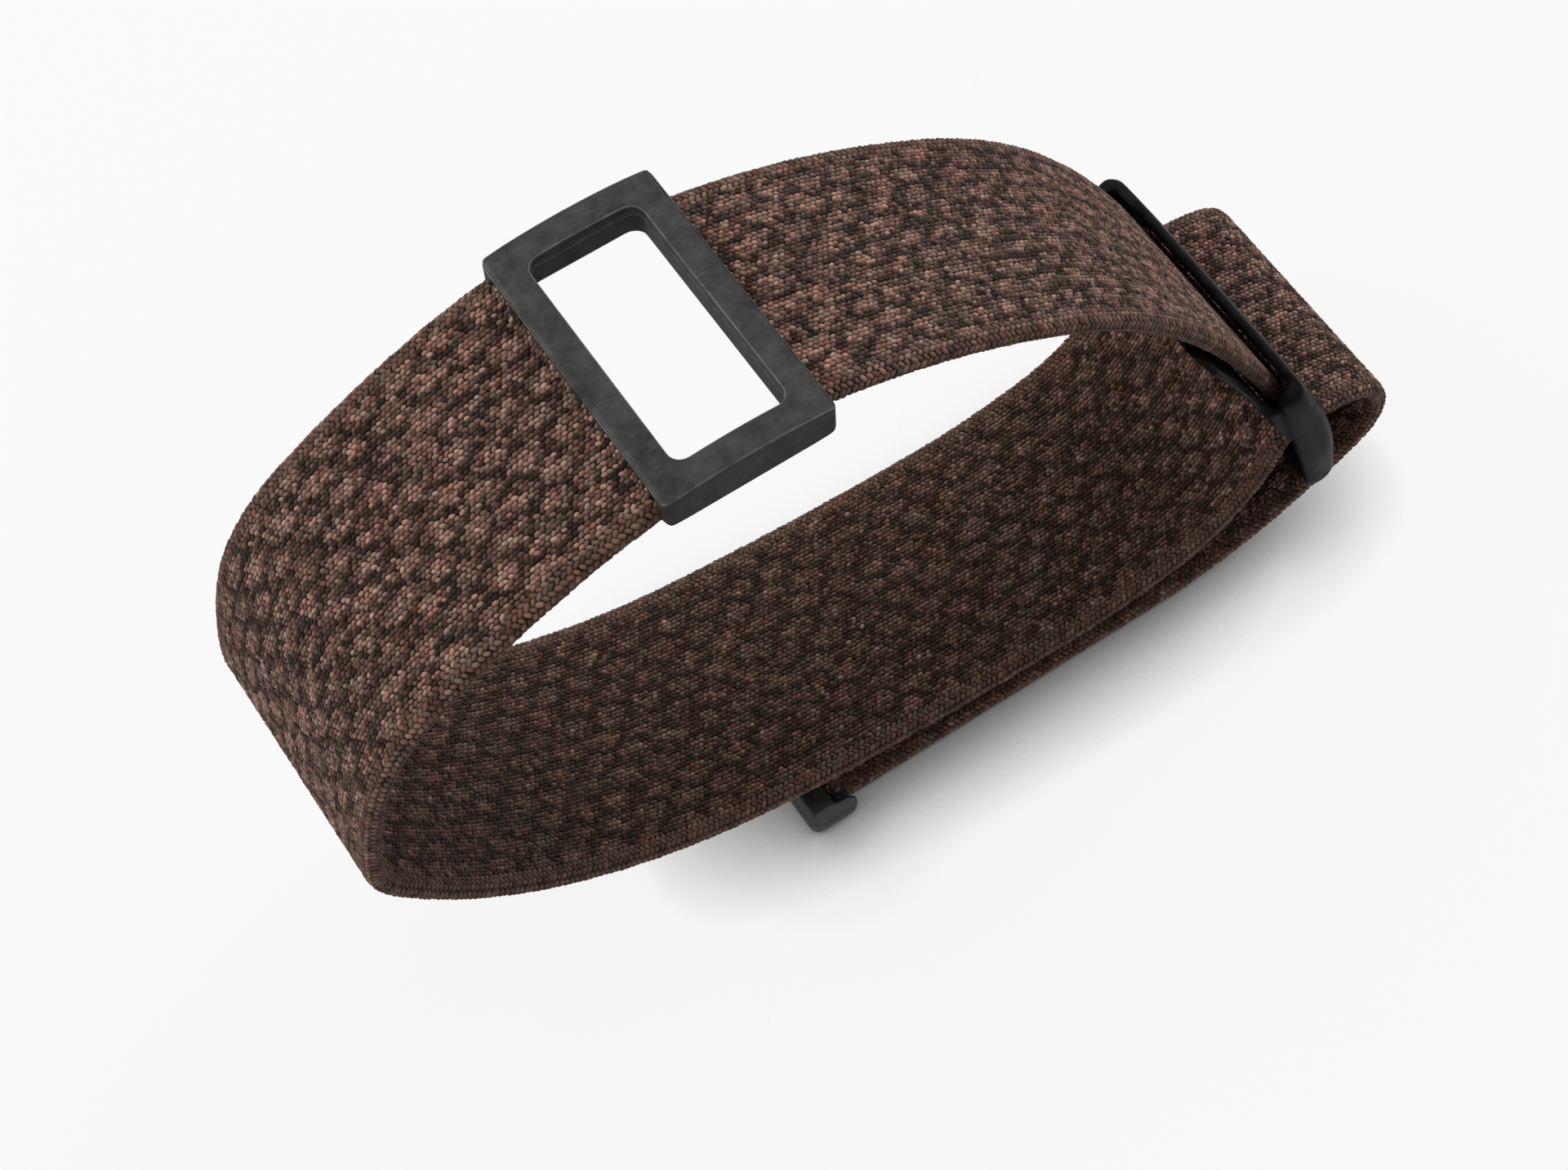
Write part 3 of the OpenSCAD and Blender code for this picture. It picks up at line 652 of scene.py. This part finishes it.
# Light patches: half sizes as shares of their spacing, how sharply they end, and how far chance moves them
PATCH_HALF_LENGTH, PATCH_HALF_WIDTH, PATCH_POWER = 0.40, 0.48, 1.6
PATCH_EDGE, PATCH_CHANCE = 1.4, 0.5
TONE_MIDDLE, TONE_SWING, TONE_SPREAD = 0.46, 0.29, 0.18
# Painted shade: the inner face, which lies in the hoop's shade, is darker, and its pattern calmer, until the
# fold turns it outward
SHADED_INNER_MIDDLE, SHADED_INNER_SWING, TONE_BASE = 0.30, 0.62, 0.45
SHADED_INNER_END, SHADED_INNER_FADE = 126.0, 14.0
# The plaited edge keeps near one tone
EDGE_MIDDLE, EDGE_SWING = 0.50, 0.4
# How far the stitches' feet and the cloth's skin lie under the strap's surface, in stitch heights
STITCH_SINK, SKIN_SINK = 1.14, 1.07
# How far stitches overlap, as shares of their spacing
OVERLAP_ALONG, OVERLAP_ACROSS = 1.42, 1.2

# A kind of stitch: its spacing along and across in millimetres, its chance shifts, its lean and its size
Weave = namedtuple("Weave", "pitch row jog drift lean size")


def tone_at(s, y, outer, wander, rng):
    """How light the yarn is at a length s and a place y: staggered light patches with ragged borders"""
    k = bpy.context.scene.band_knit
    u, v = s / (k.tuft_length / MM), y / (k.tuft_row / MM)
    u = u + wander * (
        np.sin(0.23 * s + 0.55 * y) + 0.8 * np.sin(0.61 * y - 0.31 * s + 2) + 0.5 * np.sin(1.9 * y + 0.8 * s)
    )
    v = v + wander * (
        np.sin(0.19 * s + 1) + 0.9 * np.sin(0.43 * s - 0.27 * y + 4) + 0.5 * np.sin(1.3 * s + 0.9 * y)
    )
    row = np.round(v)
    b = u + 0.5 * np.mod(row, 2)
    col = np.round(b)
    far = (np.abs(b - col) / PATCH_HALF_LENGTH) ** PATCH_POWER
    far = far + (np.abs(v - row) / PATCH_HALF_WIDTH) ** PATCH_POWER
    # A sine of large steps gives each patch its own chance value
    patch = np.sin(row * 12.9898 + col * 78.233) * 43758.5453
    patch = patch - np.floor(patch) - 0.5
    light = np.tanh(PATCH_EDGE * (1 - far) + PATCH_CHANCE * patch)
    tone = TONE_MIDDLE + TONE_SWING * light + TONE_SPREAD * rng.standard_normal(s.shape)
    # Painted shade for the inner face: a darker, calmer tone that fades out past the crest
    inner = SHADED_INNER_MIDDLE + SHADED_INNER_SWING * (tone - TONE_BASE)
    inner = inner + (tone - inner) * np.clip((s - SHADED_INNER_END) / SHADED_INNER_FADE, 0, 1)
    return np.clip(np.where(outer, tone, inner), 0, 1)


def stitch_mesh(name, points, normals, forward, side, size, yarn, seed, height, material):
    """Stitches on points, each leaning to its own side of its direction along the strap"""
    k = bpy.context.scene.band_knit
    forward = forward * np.cos(side) + np.cross(normals, forward) * np.sin(side)
    vectors = {"cloth_normal": normals, "cloth_along": forward, "stitch_size": size, "yarn": yarn}
    return grow_on_points(
        name, points, vectors, shared("Knit Stitches", stitch_tree),
        Stitch_Length=k.stitch_pitch * OVERLAP_ALONG, Stitch_Width=k.row_pitch * OVERLAP_ACROSS,
        Stitch_Height=height, Seed=k.seed + seed, Material=material,
    )


def stitch_rows(run, s0, s1, width, seed, wander, flank):
    """Places, normals, directions, leans, sizes and yarn of the stitches on a strap between two lengths"""
    k = bpy.context.scene.band_knit
    sink = k.stitch_height / MM * STITCH_SINK
    y, n, ny, nn, around = section(width / MM / 2 - sink, k.thickness / MM / 2 - sink, k.edge_radius / MM)
    corner, flat, band = around[25], around[26] - around[25], k.edge_band / MM
    face = Weave(k.stitch_pitch / MM, k.row_pitch / MM, 0.28, 0.22, 1.0, (1.0, 1.0, 1.0))
    plait = Weave(k.edge_pitch / MM, 0.42, 0.15, 0.1, 2.1, (1.22, 1.1, 1.0))
    rng = np.random.default_rng(k.seed + seed)
    found = [[], [], [], [], [], []]
    for start, length, weave in (
        (-band, corner + 2 * band, plait), (corner + band, flat - 2 * band, face),
        (corner + flat - band, corner + 2 * band, plait), (2 * corner + flat + band, flat - 2 * band, face),
    ):
        count = int(round(length / weave.row / 2)) * 2
        places = np.arange(math.ceil(s0 / weave.pitch), math.ceil(s1 / weave.pitch))
        i, j = np.meshgrid(places, np.arange(count), indexing="ij")
        shift = rng.uniform(-0.5, 0.5, (2,) + i.shape)
        s = (i + 0.5 * (j % 2) + weave.jog * shift[0]) * weave.pitch
        p = np.mod(start + (j + 0.5 + weave.drift * shift[1]) * length / count, around[-1])
        yy, hh = np.interp(p, around, y), np.interp(p, around, n)
        ay, an = np.interp(p, around, ny), np.interp(p, around, nn)
        size = np.hypot(ay, an)
        ay, an = ay / size, an / size
        _, along, normal = run.at(s)
        normals = np.stack([normal[..., 0] * an, ay, normal[..., 1] * an], -1)
        forward = np.stack([along[..., 0], np.zeros_like(s), along[..., 1]], -1)
        side = np.where(j % 2 == 0, 1, -1)[..., None] * weave.lean * k.slant
        tone = tone_at(s, yy, hh > 0, wander, rng)
        if weave is plait:
            tone = EDGE_MIDDLE + EDGE_SWING * (tone - TONE_BASE)
        yarn = np.stack([tone, rng.uniform(0, 1, s.shape), rng.uniform(0, 1, s.shape)], -1)
        grown = np.broadcast_to(np.array(weave.size), yarn.shape)
        kept = s + flank * hh >= s0
        for store, values in zip(found, (place(run, s, yy, hh), normals, forward, side, grown, yarn)):
            store.append(values[kept])
    return [np.concatenate(v) for v in found]


def make_stitches(name, run, s0, s1, width, seed, material, wander=0.06, flank=0.0):
    rows = stitch_rows(run, s0, s1, width, seed, wander, flank)
    return stitch_mesh(name, *rows, seed, bpy.context.scene.band_knit.stitch_height, material)


def tube_faces(rings, m, looped=False):
    """Faces round a tube of rings of m points, closed by its ends or by joining the last ring to the first"""
    faces = []
    for a in range(rings if looped else rings - 1):
        c = (a + 1) % rings
        faces += [(a * m + b, a * m + (b + 1) % m, c * m + (b + 1) % m, c * m + b) for b in range(m)]
    if not looped:
        faces += [tuple(range(m)), tuple((rings - 1) * m + b for b in reversed(range(m)))]
    return faces


def new_solid(name, verts, faces, material, smooth=True):
    """A closed piece with its faces outward"""
    obj = new_object(name, verts, faces, material, smooth)
    bm = bmesh.new()
    bm.from_mesh(obj.data)
    bmesh.ops.recalc_face_normals(bm, faces=bm.faces)
    bm.to_mesh(obj.data)
    bm.free()
    return obj


def make_patch(name, run, s0, s1, low, high, half, body, node, tape, pile, **bristle):
    """A sewn patch: its tape from height low, and bristles on it up to height high"""
    bevel, margin, pitch = 0.08, 0.6, 0.78
    deck = low + 0.42 * (high - low)
    s = np.linspace(s0, s1, 22)
    rows = (
        (-half, low), (half, low), (half, deck - bevel), (half - bevel, deck), (bevel - half, deck),
        (-half, deck - bevel),
    )
    y, n = np.array(rows).T
    grid = place(run, np.repeat(s, len(rows)), np.tile(y, len(s)), np.tile(n, len(s)))
    base = new_solid(name + "_tape", grid, tube_faces(len(s), len(rows)), tape, smooth=False)
    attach(base, body)
    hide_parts(node)
    counts = [int((span - 0.8) / pitch) for span in (s1 - s0, 2 * half)]
    i, j = np.meshgrid(*map(np.arange, counts), indexing="ij")
    length = s0 + margin + (i + 0.5 * (j % 2)) * pitch
    _, _, normal = run.at(length)
    normals = np.stack([normal[..., 0], np.zeros_like(length), normal[..., 1]], -1)
    hairs = grow_on_points(
        name + "_pile", place(run, length, -half + margin + j * pitch, np.full(length.shape, deck)),
        {"cloth_normal": normals}, shared("Patch Pile", pile_tree),
        Bristle_Height=(high - deck - 0.05) * MM, Material=pile, **bristle,
    )
    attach(hairs, body)


def paint_yarn(obj, tone=0.15, rise=0.3):
    """Gives cloth without stitches one dark yarn, dimmed by its low rise as painted shade between the
    stitches
    """
    count = len(obj.data.vertices)
    layer = obj.data.attributes.new("yarn", "FLOAT_VECTOR", "POINT")
    layer.data.foreach_set("vector", np.tile(np.float32([tone, 0.5, 0.5]), count))
    layer = obj.data.attributes.new("rise", "FLOAT", "POINT")
    layer.data.foreach_set("value", np.full(count, rise, np.float32))
    return obj


def make_cloth(name, run, s0, s1, width, material, step=0.8, flank=0.0):
    """The strap's body under its stitches: a closed rounded tube, its start cut to the frame's flank"""
    k = bpy.context.scene.band_knit
    skin = k.stitch_height / MM * SKIN_SINK
    y, n, _, _, _ = section(width / MM / 2 - skin, k.thickness / MM / 2 - skin, k.edge_radius / MM)
    keep = [i for i in range(len(y) - 1) if i % 3 == 0 or i in (12, 25, 38)]
    y, n = y[keep], n[keep]
    s = np.linspace(s0, s1, max(4, int(round((s1 - s0) / step))) + 1)
    lengths = np.repeat(s, len(y))
    lengths[:len(y)] -= flank * n
    grid = place(run, lengths, np.tile(y, len(s)), np.tile(n, len(s)))
    return paint_yarn(new_solid(name, grid, tube_faces(len(s), len(y)), material))


def make_sleeve(name, centre, radius, bore, half, material):
    """The end loop of a strap round its bar: a short tube with bevelled rims"""
    count, rim, bevel = 36, 0.25, 0.12
    rings = (
        (radius, -half + rim), (radius, half - rim), (radius - bevel, half), (bore, half), (bore, -half),
        (radius - bevel, -half),
    )
    verts = []
    for r, y in rings:
        for k in range(count):
            a = 2 * math.pi * k / count
            verts.append(((centre[0] + r * math.cos(a)) * MM, y * MM, (centre[1] + r * math.sin(a)) * MM))
    return paint_yarn(new_solid(name, verts, tube_faces(len(rings), count, looped=True), material))


def knit_loop(name, centre, radius, half, seed, material):
    """Stitches round a strap's end loop"""
    k = bpy.context.scene.band_knit
    turns = int(round(2 * math.pi * radius / (k.stitch_pitch / MM)))
    rows = int(round(2 * half / (k.row_pitch / MM) / 2)) * 2
    i, j = np.meshgrid(np.arange(turns), np.arange(rows), indexing="ij")
    rng = np.random.default_rng(k.seed + seed)
    a = 2 * math.pi * (i + 0.5 * (j % 2) + rng.uniform(-0.12, 0.12, i.shape)) / turns
    y = -half + (j + 0.5) * 2 * half / rows
    normals = np.stack([np.cos(a), np.zeros_like(a), np.sin(a)], -1)
    points = (np.array([centre[0], 0, centre[1]]) + radius * normals + np.stack([0 * a, y, 0 * a], -1)) * MM
    forward = np.stack([-np.sin(a), np.zeros_like(a), np.cos(a)], -1)
    side = np.where(j % 2 == 0, 1, -1)[..., None] * k.slant
    tone = tone_at(a * radius, y, a > -10, 0.1, rng)
    yarn = np.stack([tone, rng.uniform(0, 1, a.shape), rng.uniform(0, 1, a.shape)], -1)
    return stitch_mesh(
        name, points, normals, forward, side, np.ones(yarn.shape), yarn, seed, k.stitch_height * 0.9, material
    )


def end_loop(name, centre, sizes, seed, cloth, yarn, body):
    """A strap's end loop round a bar, with its stitches"""
    radius, bore, half = sizes
    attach(make_sleeve(name, centre, radius, bore, half, cloth), body)
    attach(knit_loop(name + "_knit", centre, radius, half - 0.2, seed, yarn), body)


# Hard pieces

# The ring from the side, in millimetres round its swing axis: its lean, its bowed face and its straight rear
RING_LEAN = math.radians(25.0)
FACE_LEVEL, FACE_CREST, BOW_ABOVE, BOW_BELOW = 1.95, -0.6, 160.0, 64.0
REAR_LEVEL, REAR_SLOPE = -1.22, -0.146
# The cheeks' inner side, the span they crown over, and how far they draw in
CHEEK_INNER, CROWN_TOP, CROWN_FOOT, CROWN_REACH = 11.0, -3.2, 5.2, 4.4
CROWN_RATE, CROWN_ENDS, CROWN_DEPTH = 1.3, 0.5, 0.36


def crown_cheeks(co):
    """Draws the ring's flat cheeks in towards their rims, so that they are crowned like pebbles"""
    pivot = joint_at("ring_swing")
    flat = (co[:, [0, 2]] - np.array([pivot[0], pivot[2]])) / MM
    s = flat @ np.array([math.sin(RING_LEAN), -math.cos(RING_LEAN)])
    m = flat @ np.array([math.cos(RING_LEAN), math.sin(RING_LEAN)])
    face = FACE_LEVEL - (s - FACE_CREST) ** 2 / np.where(s < FACE_CREST, BOW_ABOVE, BOW_BELOW)
    rear = REAR_LEVEL + REAR_SLOPE * s
    across = np.abs(2 * m - face - rear) / (face - rear)
    ends = np.maximum(np.maximum(CROWN_TOP - s, s - CROWN_FOOT), 0) / CROWN_REACH
    drawn = 1 - np.exp(-CROWN_RATE * (across**4 + CROWN_ENDS * ends**2))
    side = np.abs(co[:, 1]) / MM - CHEEK_INNER
    y = CHEEK_INNER + side * (1 - CROWN_DEPTH * drawn)
    return np.stack([co[:, 0], np.where(side > 0, np.sign(co[:, 1]) * y * MM, co[:, 1]), co[:, 2]], -1)


def cast_copy(node, name, material, grain, rounds, shape=None):
    """A copy of a CAD node with soft edges, as a cast and tumbled piece has, which stands for the node"""
    mesh = frame["nodes"][node].data.copy()
    bm = bmesh.new()
    bm.from_mesh(mesh)
    bmesh.ops.remove_doubles(bm, verts=bm.verts, dist=1e-6)
    bm.to_mesh(mesh)
    bm.free()
    rough = link_data(name + "_rough", mesh)
    mod = rough.modifiers.new("Remesh", "REMESH")
    mod.mode = "VOXEL"
    mod.voxel_size = grain
    result = plain_mesh(rough, name)
    bpy.data.meshes.remove(mesh)
    count = len(result.vertices)
    co = np.empty(count * 3, np.float64)
    result.vertices.foreach_get("co", co)
    co = co.reshape(-1, 3)
    low, high = co.min(0), co.max(0)
    ends = np.empty(len(result.edges) * 2, np.int64)
    result.edges.foreach_get("vertices", ends)
    a, b = ends[0::2], ends[1::2]
    links = np.bincount(np.concatenate([a, b]), minlength=count)[:, None]
    # Each round moves every point part of the way to the middle of its neighbours
    for _ in range(rounds):
        total = np.zeros_like(co)
        for axis in range(3):
            total[:, axis] = np.bincount(a, co[b, axis], count) + np.bincount(b, co[a, axis], count)
        co += 0.6 * (total / np.maximum(links, 1) - co)
    co = low + (co - co.min(0)) * (high - low) / np.ptp(co, axis=0)
    if shape:
        co = shape(co)
    result.vertices.foreach_set("co", co.ravel())
    result.polygons.foreach_set("use_smooth", [True] * len(result.polygons))
    dress(result, material)
    result.update()
    return link_data(name, result)


def dressed_copy(node, name, material, worn, width, angle=32):
    """A merged copy of a CAD node with its edges broken, worn and lightened as a painted highlight, which
    stands for the node
    """
    mesh = frame["nodes"][node].data.copy()
    mesh.name = name
    dress(mesh, material, worn)
    bm = bmesh.new()
    bm.from_mesh(mesh)
    bmesh.ops.remove_doubles(bm, verts=bm.verts, dist=1e-6)
    bmesh.ops.dissolve_limit(bm, angle_limit=math.radians(0.5), verts=bm.verts, edges=bm.edges)
    for face in bm.faces:
        face.material_index = 0
    sharp = [e for e in bm.edges if len(e.link_faces) == 2 and e.calc_face_angle(0) > math.radians(angle)]
    # The bevels take the second material, a worn coat lightened as a painted highlight
    bmesh.ops.bevel(
        bm, geom=sharp, offset=width, segments=2, profile=0.5, affect="EDGES", clamp_overlap=False, material=1
    )
    bm.to_mesh(mesh)
    bm.free()
    mesh.polygons.foreach_set("use_smooth", [True] * len(mesh.polygons))
    obj = link_data(name, mesh)
    mod = obj.modifiers.new("Weighted Normal", "WEIGHTED_NORMAL")
    mod.keep_sharp = True
    return obj


# Operators

class BAND_OT_long_strap(bpy.types.Operator):
    """Knits the long strap, its fold and its tail"""

    bl_idname = "band.long_strap"
    bl_label = "Long strap"

    def execute(self, context):
        width, short = context.scene.band_knit.strap_width, context.scene.band_knit.short_width
        run = long_run()
        # The ground cloth takes the yarn's colours at half strength, as painted shade in the gaps between
        # stitches
        cloth = knit_material("Knit ground", 0.5)
        yarn = knit_material("Knit yarn")
        flank = math.tan(math.radians(START_HEADING - 180))
        body = make_cloth("long_strap_neck", run, 0.0, NECK + 0.3, short, cloth)
        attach(body, "hoop")
        hoop = make_cloth("long_strap_cloth", run, NECK + ROCK_ROOM, CREST, width, cloth, flank=flank)
        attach(hoop, "hoop")
        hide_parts("long_strap")
        cuts = np.linspace(NECK - TUCK, CREST, 5)
        for i, (start, end) in enumerate(zip(cuts, cuts[1:])):
            cut = 0.0 if i else flank
            knit = make_stitches(f"long_strap_knit_{i + 1}", run, start, end, width, i, yarn, flank=cut)
            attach(knit, "hoop")
        end_loop("long_strap_loop", bar_at("left_barrel"), BAR_LOOP, 20, cloth, yarn, "hoop")
        # The fold lies between the hoop and the tail, round the hinge; a short stretch on both sides of the
        # hinge is worked out, and the fold's cloth and stitches are baked where they lie
        hinge, reach = joint_at("tail_peel"), 3.5 * MM
        start, end = (hinge[0], 0, hinge[2] + reach), (hinge[0], 0, hinge[2] - reach)
        fold = make_cloth("fold_cloth", run, CREST, SPLIT, width, cloth, step=0.4)
        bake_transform(fold)
        knit = make_stitches("fold_knit", run, CREST, SPLIT, width, 5, yarn)
        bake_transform(knit)
        tail = make_cloth("tail_cloth", run, SPLIT, run.length, width, cloth)
        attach(tail, "tail")
        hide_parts("strap_tail")
        cuts = np.linspace(SPLIT, run.length - STITCH_STOP, 3)
        for i, (start, end) in enumerate(zip(cuts, cuts[1:])):
            knit = make_stitches(f"tail_knit_{i + 1}", run, start, end, width, 6 + i, yarn)
            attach(knit, "tail")
        pivot = joint_at("clip_swing")
        centre = (pivot[0] / MM, pivot[2] / MM)
        end_loop("tail_loop", centre, CLIP_LOOP, 21, cloth, yarn, "tail")
        return {"FINISHED"}


class BAND_OT_short_strap(bpy.types.Operator):
    """Knits the short strap between the frame and the ring"""

    bl_idname = "band.short_strap"
    bl_label = "Short strap"

    def execute(self, context):
        width = context.scene.band_knit.short_width
        run = short_run()
        # The ground cloth takes the yarn's colours at half strength, as painted shade in the gaps between
        # stitches
        cloth = knit_material("Knit ground", 0.5)
        yarn = knit_material("Knit yarn")
        body = make_cloth("short_strap_cloth", run, 0.0, run.length, width, cloth)
        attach(body, "short")
        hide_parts("short_strap")
        cuts = np.linspace(STITCH_STOP, run.length - STITCH_STOP, 3)
        for i, (start, end) in enumerate(zip(cuts, cuts[1:])):
            knit = make_stitches(
                f"short_strap_knit_{i + 1}", run, start, end, width, 10 + i, yarn, wander=0.16
            )
            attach(knit, "short")
        for seed, name, bar in ((22, "top", "right_barrel"), (23, "low", "ring_barrel")):
            end_loop("short_strap_loop_" + name, bar_at(bar), BAR_LOOP, seed, cloth, yarn, "short")
        return {"FINISHED"}


class BAND_OT_hardware(bpy.types.Operator):
    """Finishes the sensor frame, the ring, the clip and the bars"""

    bl_idname = "band.hardware"
    bl_label = "Hardware"

    def execute(self, context):
        m = context.scene.band_metal
        satin = coat_material("Frame satin", m.frame_colour)
        rubbed_and_highlit = coat_material("Frame satin worn and highlit", m.wear_and_highlight_colour)
        black = coat_material("Ring black", m.ring_colour)
        # The clip's coat is the ring's, lightened as a painted highlight
        clip = coat_material("Clip black", [c * m.clip_highlight_lift for c in m.ring_colour])
        steel = coat_material("Bar steel", (0.42, 0.42, 0.43), metallic=1.0)
        piece = dressed_copy("pod_frame", "sensor_frame", satin, rubbed_and_highlit, m.edge_break)
        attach(piece, "frame")
        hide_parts("pod_frame")
        for node, name, coat, rounds, shape in (
            ("ring_link", "ring", black, m.soften, crown_cheeks),
            ("end_clip", "clip", clip, m.soften // 2, None),
        ):
            piece = cast_copy(node, name, coat, m.grain, rounds, shape)
            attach(piece, name)
            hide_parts(node)
        for name, obj in frame["nodes"].items():
            if name.split("_")[0] in ("left", "right", "ring") and name != "ring_link":
                dress(obj.data, steel)
        return {"FINISHED"}


class BAND_OT_patches(bpy.types.Operator):
    """Finishes the hook patch and the loop patch between the tail and the hoop"""

    bl_idname = "band.patches"
    bl_label = "Patches"

    def execute(self, context):
        tape = coat_material("Patch tape", (0.012, 0.0115, 0.011))
        nylon = coat_material("Patch nylon", (0.02, 0.0195, 0.019))
        low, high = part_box("hook_patch")
        level = low.z / MM
        flat = Run([(low.x / MM, level), (high.x / MM, level)], [0.0, 0.0], 1.0)
        make_patch(
            "hook", flat, 0.0, flat.length, 0.0, (high.z - low.z) / MM, high.y / MM, "tail", "hook_patch",
            tape, nylon, Sweep=2.5, Turn_Spread=0.15, Bristle_Span=0.42 * MM, Seed=31,
        )
        low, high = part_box("loop_patch")
        hoop = long_run()
        # The patch is under the hoop, so only the hoop's lower stretch is searched for its ends
        under = (hoop.p[:, 1] < 12) & (hoop.s < 120)
        ends = [float(np.interp(x / MM, hoop.p[under][:, 0], hoop.s[under])) for x in (low.x, high.x)]
        half = context.scene.band_knit.thickness / MM / 2
        make_patch(
            "loop", hoop, *ends, half, half + 0.7, high.y / MM, "hoop", "loop_patch",
            tape, nylon, Sweep=math.pi, Turn_Spread=1.3, Bristle_Span=0.6 * MM, Seed=32,
        )
        return {"FINISHED"}


def studio_world(s):
    """Even light that fades towards the camera's side, behind plain white"""
    world = bpy.data.worlds.new("Studio")
    world.use_nodes = True
    tree = world.node_tree
    way = add(tree, "ShaderNodeTexCoord").outputs["Generated"]
    split = add(tree, "ShaderNodeSeparateXYZ", {"Vector": way}).outputs
    height = times(tree, split["Z"], 0.9, split["Y"])
    values = {"Value": height, "From Min": -0.7, "From Max": 0.8, "To Min": 0.12 * s.sky, "To Max": s.sky}
    fade = add(tree, "ShaderNodeMapRange", values, interpolation_type="SMOOTHSTEP").outputs[0]
    back = tree.nodes["Background"].inputs
    feed(tree, back["Color"], (1, 1, 1))
    feed(tree, back["Strength"], math_node(tree, "MAXIMUM", fade, seen_rays(tree)))
    return world


def studio_lamp(name, spot, power):
    """A large soft lamp that faces the band"""
    lamp = bpy.data.lights.new(name, "AREA")
    lamp.shape = "RECTANGLE"
    lamp.size, lamp.size_y = 0.45, 0.4
    lamp.energy = power
    light = link_data(name, lamp)
    light.location = spot
    light.rotation_euler = (Vector((0, 0, 0.03)) - light.location).to_track_quat("-Z", "Y").to_euler()


def studio_camera(s):
    """The photograph's camera"""
    cam = bpy.data.cameras.new("Camera")
    cam.sensor_fit = "HORIZONTAL"
    cam.sensor_width = 36.0
    cam.lens = s.focal_px * 36.0 / 1920.0
    cam.clip_start, cam.clip_end = 0.01, 20.0
    obj = link_data("Camera", cam)
    a, e = s.azimuth, s.elevation
    back = Vector((math.sin(a) * math.cos(e), -math.cos(a) * math.cos(e), math.sin(e)))
    level = Vector((math.cos(a), math.sin(a), 0))
    upright = back.cross(level)
    right = level * math.cos(s.roll) + upright * math.sin(s.roll)
    up = upright * math.cos(s.roll) - level * math.sin(s.roll)
    turn = Matrix((right, up, back)).transposed()
    obj.matrix_world = Matrix.Translation(Vector(s.place)) @ turn.to_4x4()
    return obj


class BAND_OT_studio(bpy.types.Operator):
    """Sets the floor, the light and the camera"""

    bl_idname = "band.studio"
    bl_label = "Studio"

    def execute(self, context):
        s = context.scene.band_studio
        r = 4.0
        corners = [(-r, -r, 0), (r, -r, 0), (r, r, 0), (-r, r, 0)]
        floor = new_object("floor", corners, [(0, 1, 2, 3)], paper_material(s), False)
        context.scene.world = studio_world(s)
        studio_lamp("Left lamp", (-0.42, 0.20, 0.48), s.lamp)
        studio_lamp("Right lamp", (0.42, 0.22, 0.48), s.lamp)
        context.scene.camera = studio_camera(s)
        context.scene.view_settings.view_transform = "Standard"
        return {"FINISHED"}


class BAND_PT_panel(bpy.types.Panel):
    """Lists the band's pieces"""

    bl_idname = "BAND_PT_panel"
    bl_label = "Fitness band"
    bl_space_type = "VIEW_3D"
    bl_region_type = "UI"
    bl_category = "Band"

    def draw(self, context):
        for group in ("band_knit", "band_metal", "band_studio"):
            box = self.layout.box()
            settings = getattr(context.scene, group)
            for key in settings.__annotations__:
                box.prop(settings, key)
        for name in STEPS:
            self.layout.operator("band." + name)


STEPS = ("long_strap", "short_strap", "hardware", "patches", "studio")
CLASSES = (
    BAND_PG_knit, BAND_PG_metal, BAND_PG_studio,
    BAND_OT_long_strap, BAND_OT_short_strap, BAND_OT_hardware, BAND_OT_patches, BAND_OT_studio,
    BAND_PT_panel,
)


def register():
    for cls in CLASSES:
        bpy.utils.register_class(cls)
    bpy.types.Scene.band_knit = PointerProperty(type=BAND_PG_knit)
    bpy.types.Scene.band_metal = PointerProperty(type=BAND_PG_metal)
    bpy.types.Scene.band_studio = PointerProperty(type=BAND_PG_studio)


def unregister():
    for key in ("band_studio", "band_metal", "band_knit"):
        delattr(bpy.types.Scene, key)
    for cls in reversed(CLASSES):
        bpy.utils.unregister_class(cls)


def main():
    register()
    for name in STEPS:
        getattr(bpy.ops.band, name)()


if __name__ == "__main__":
    main()
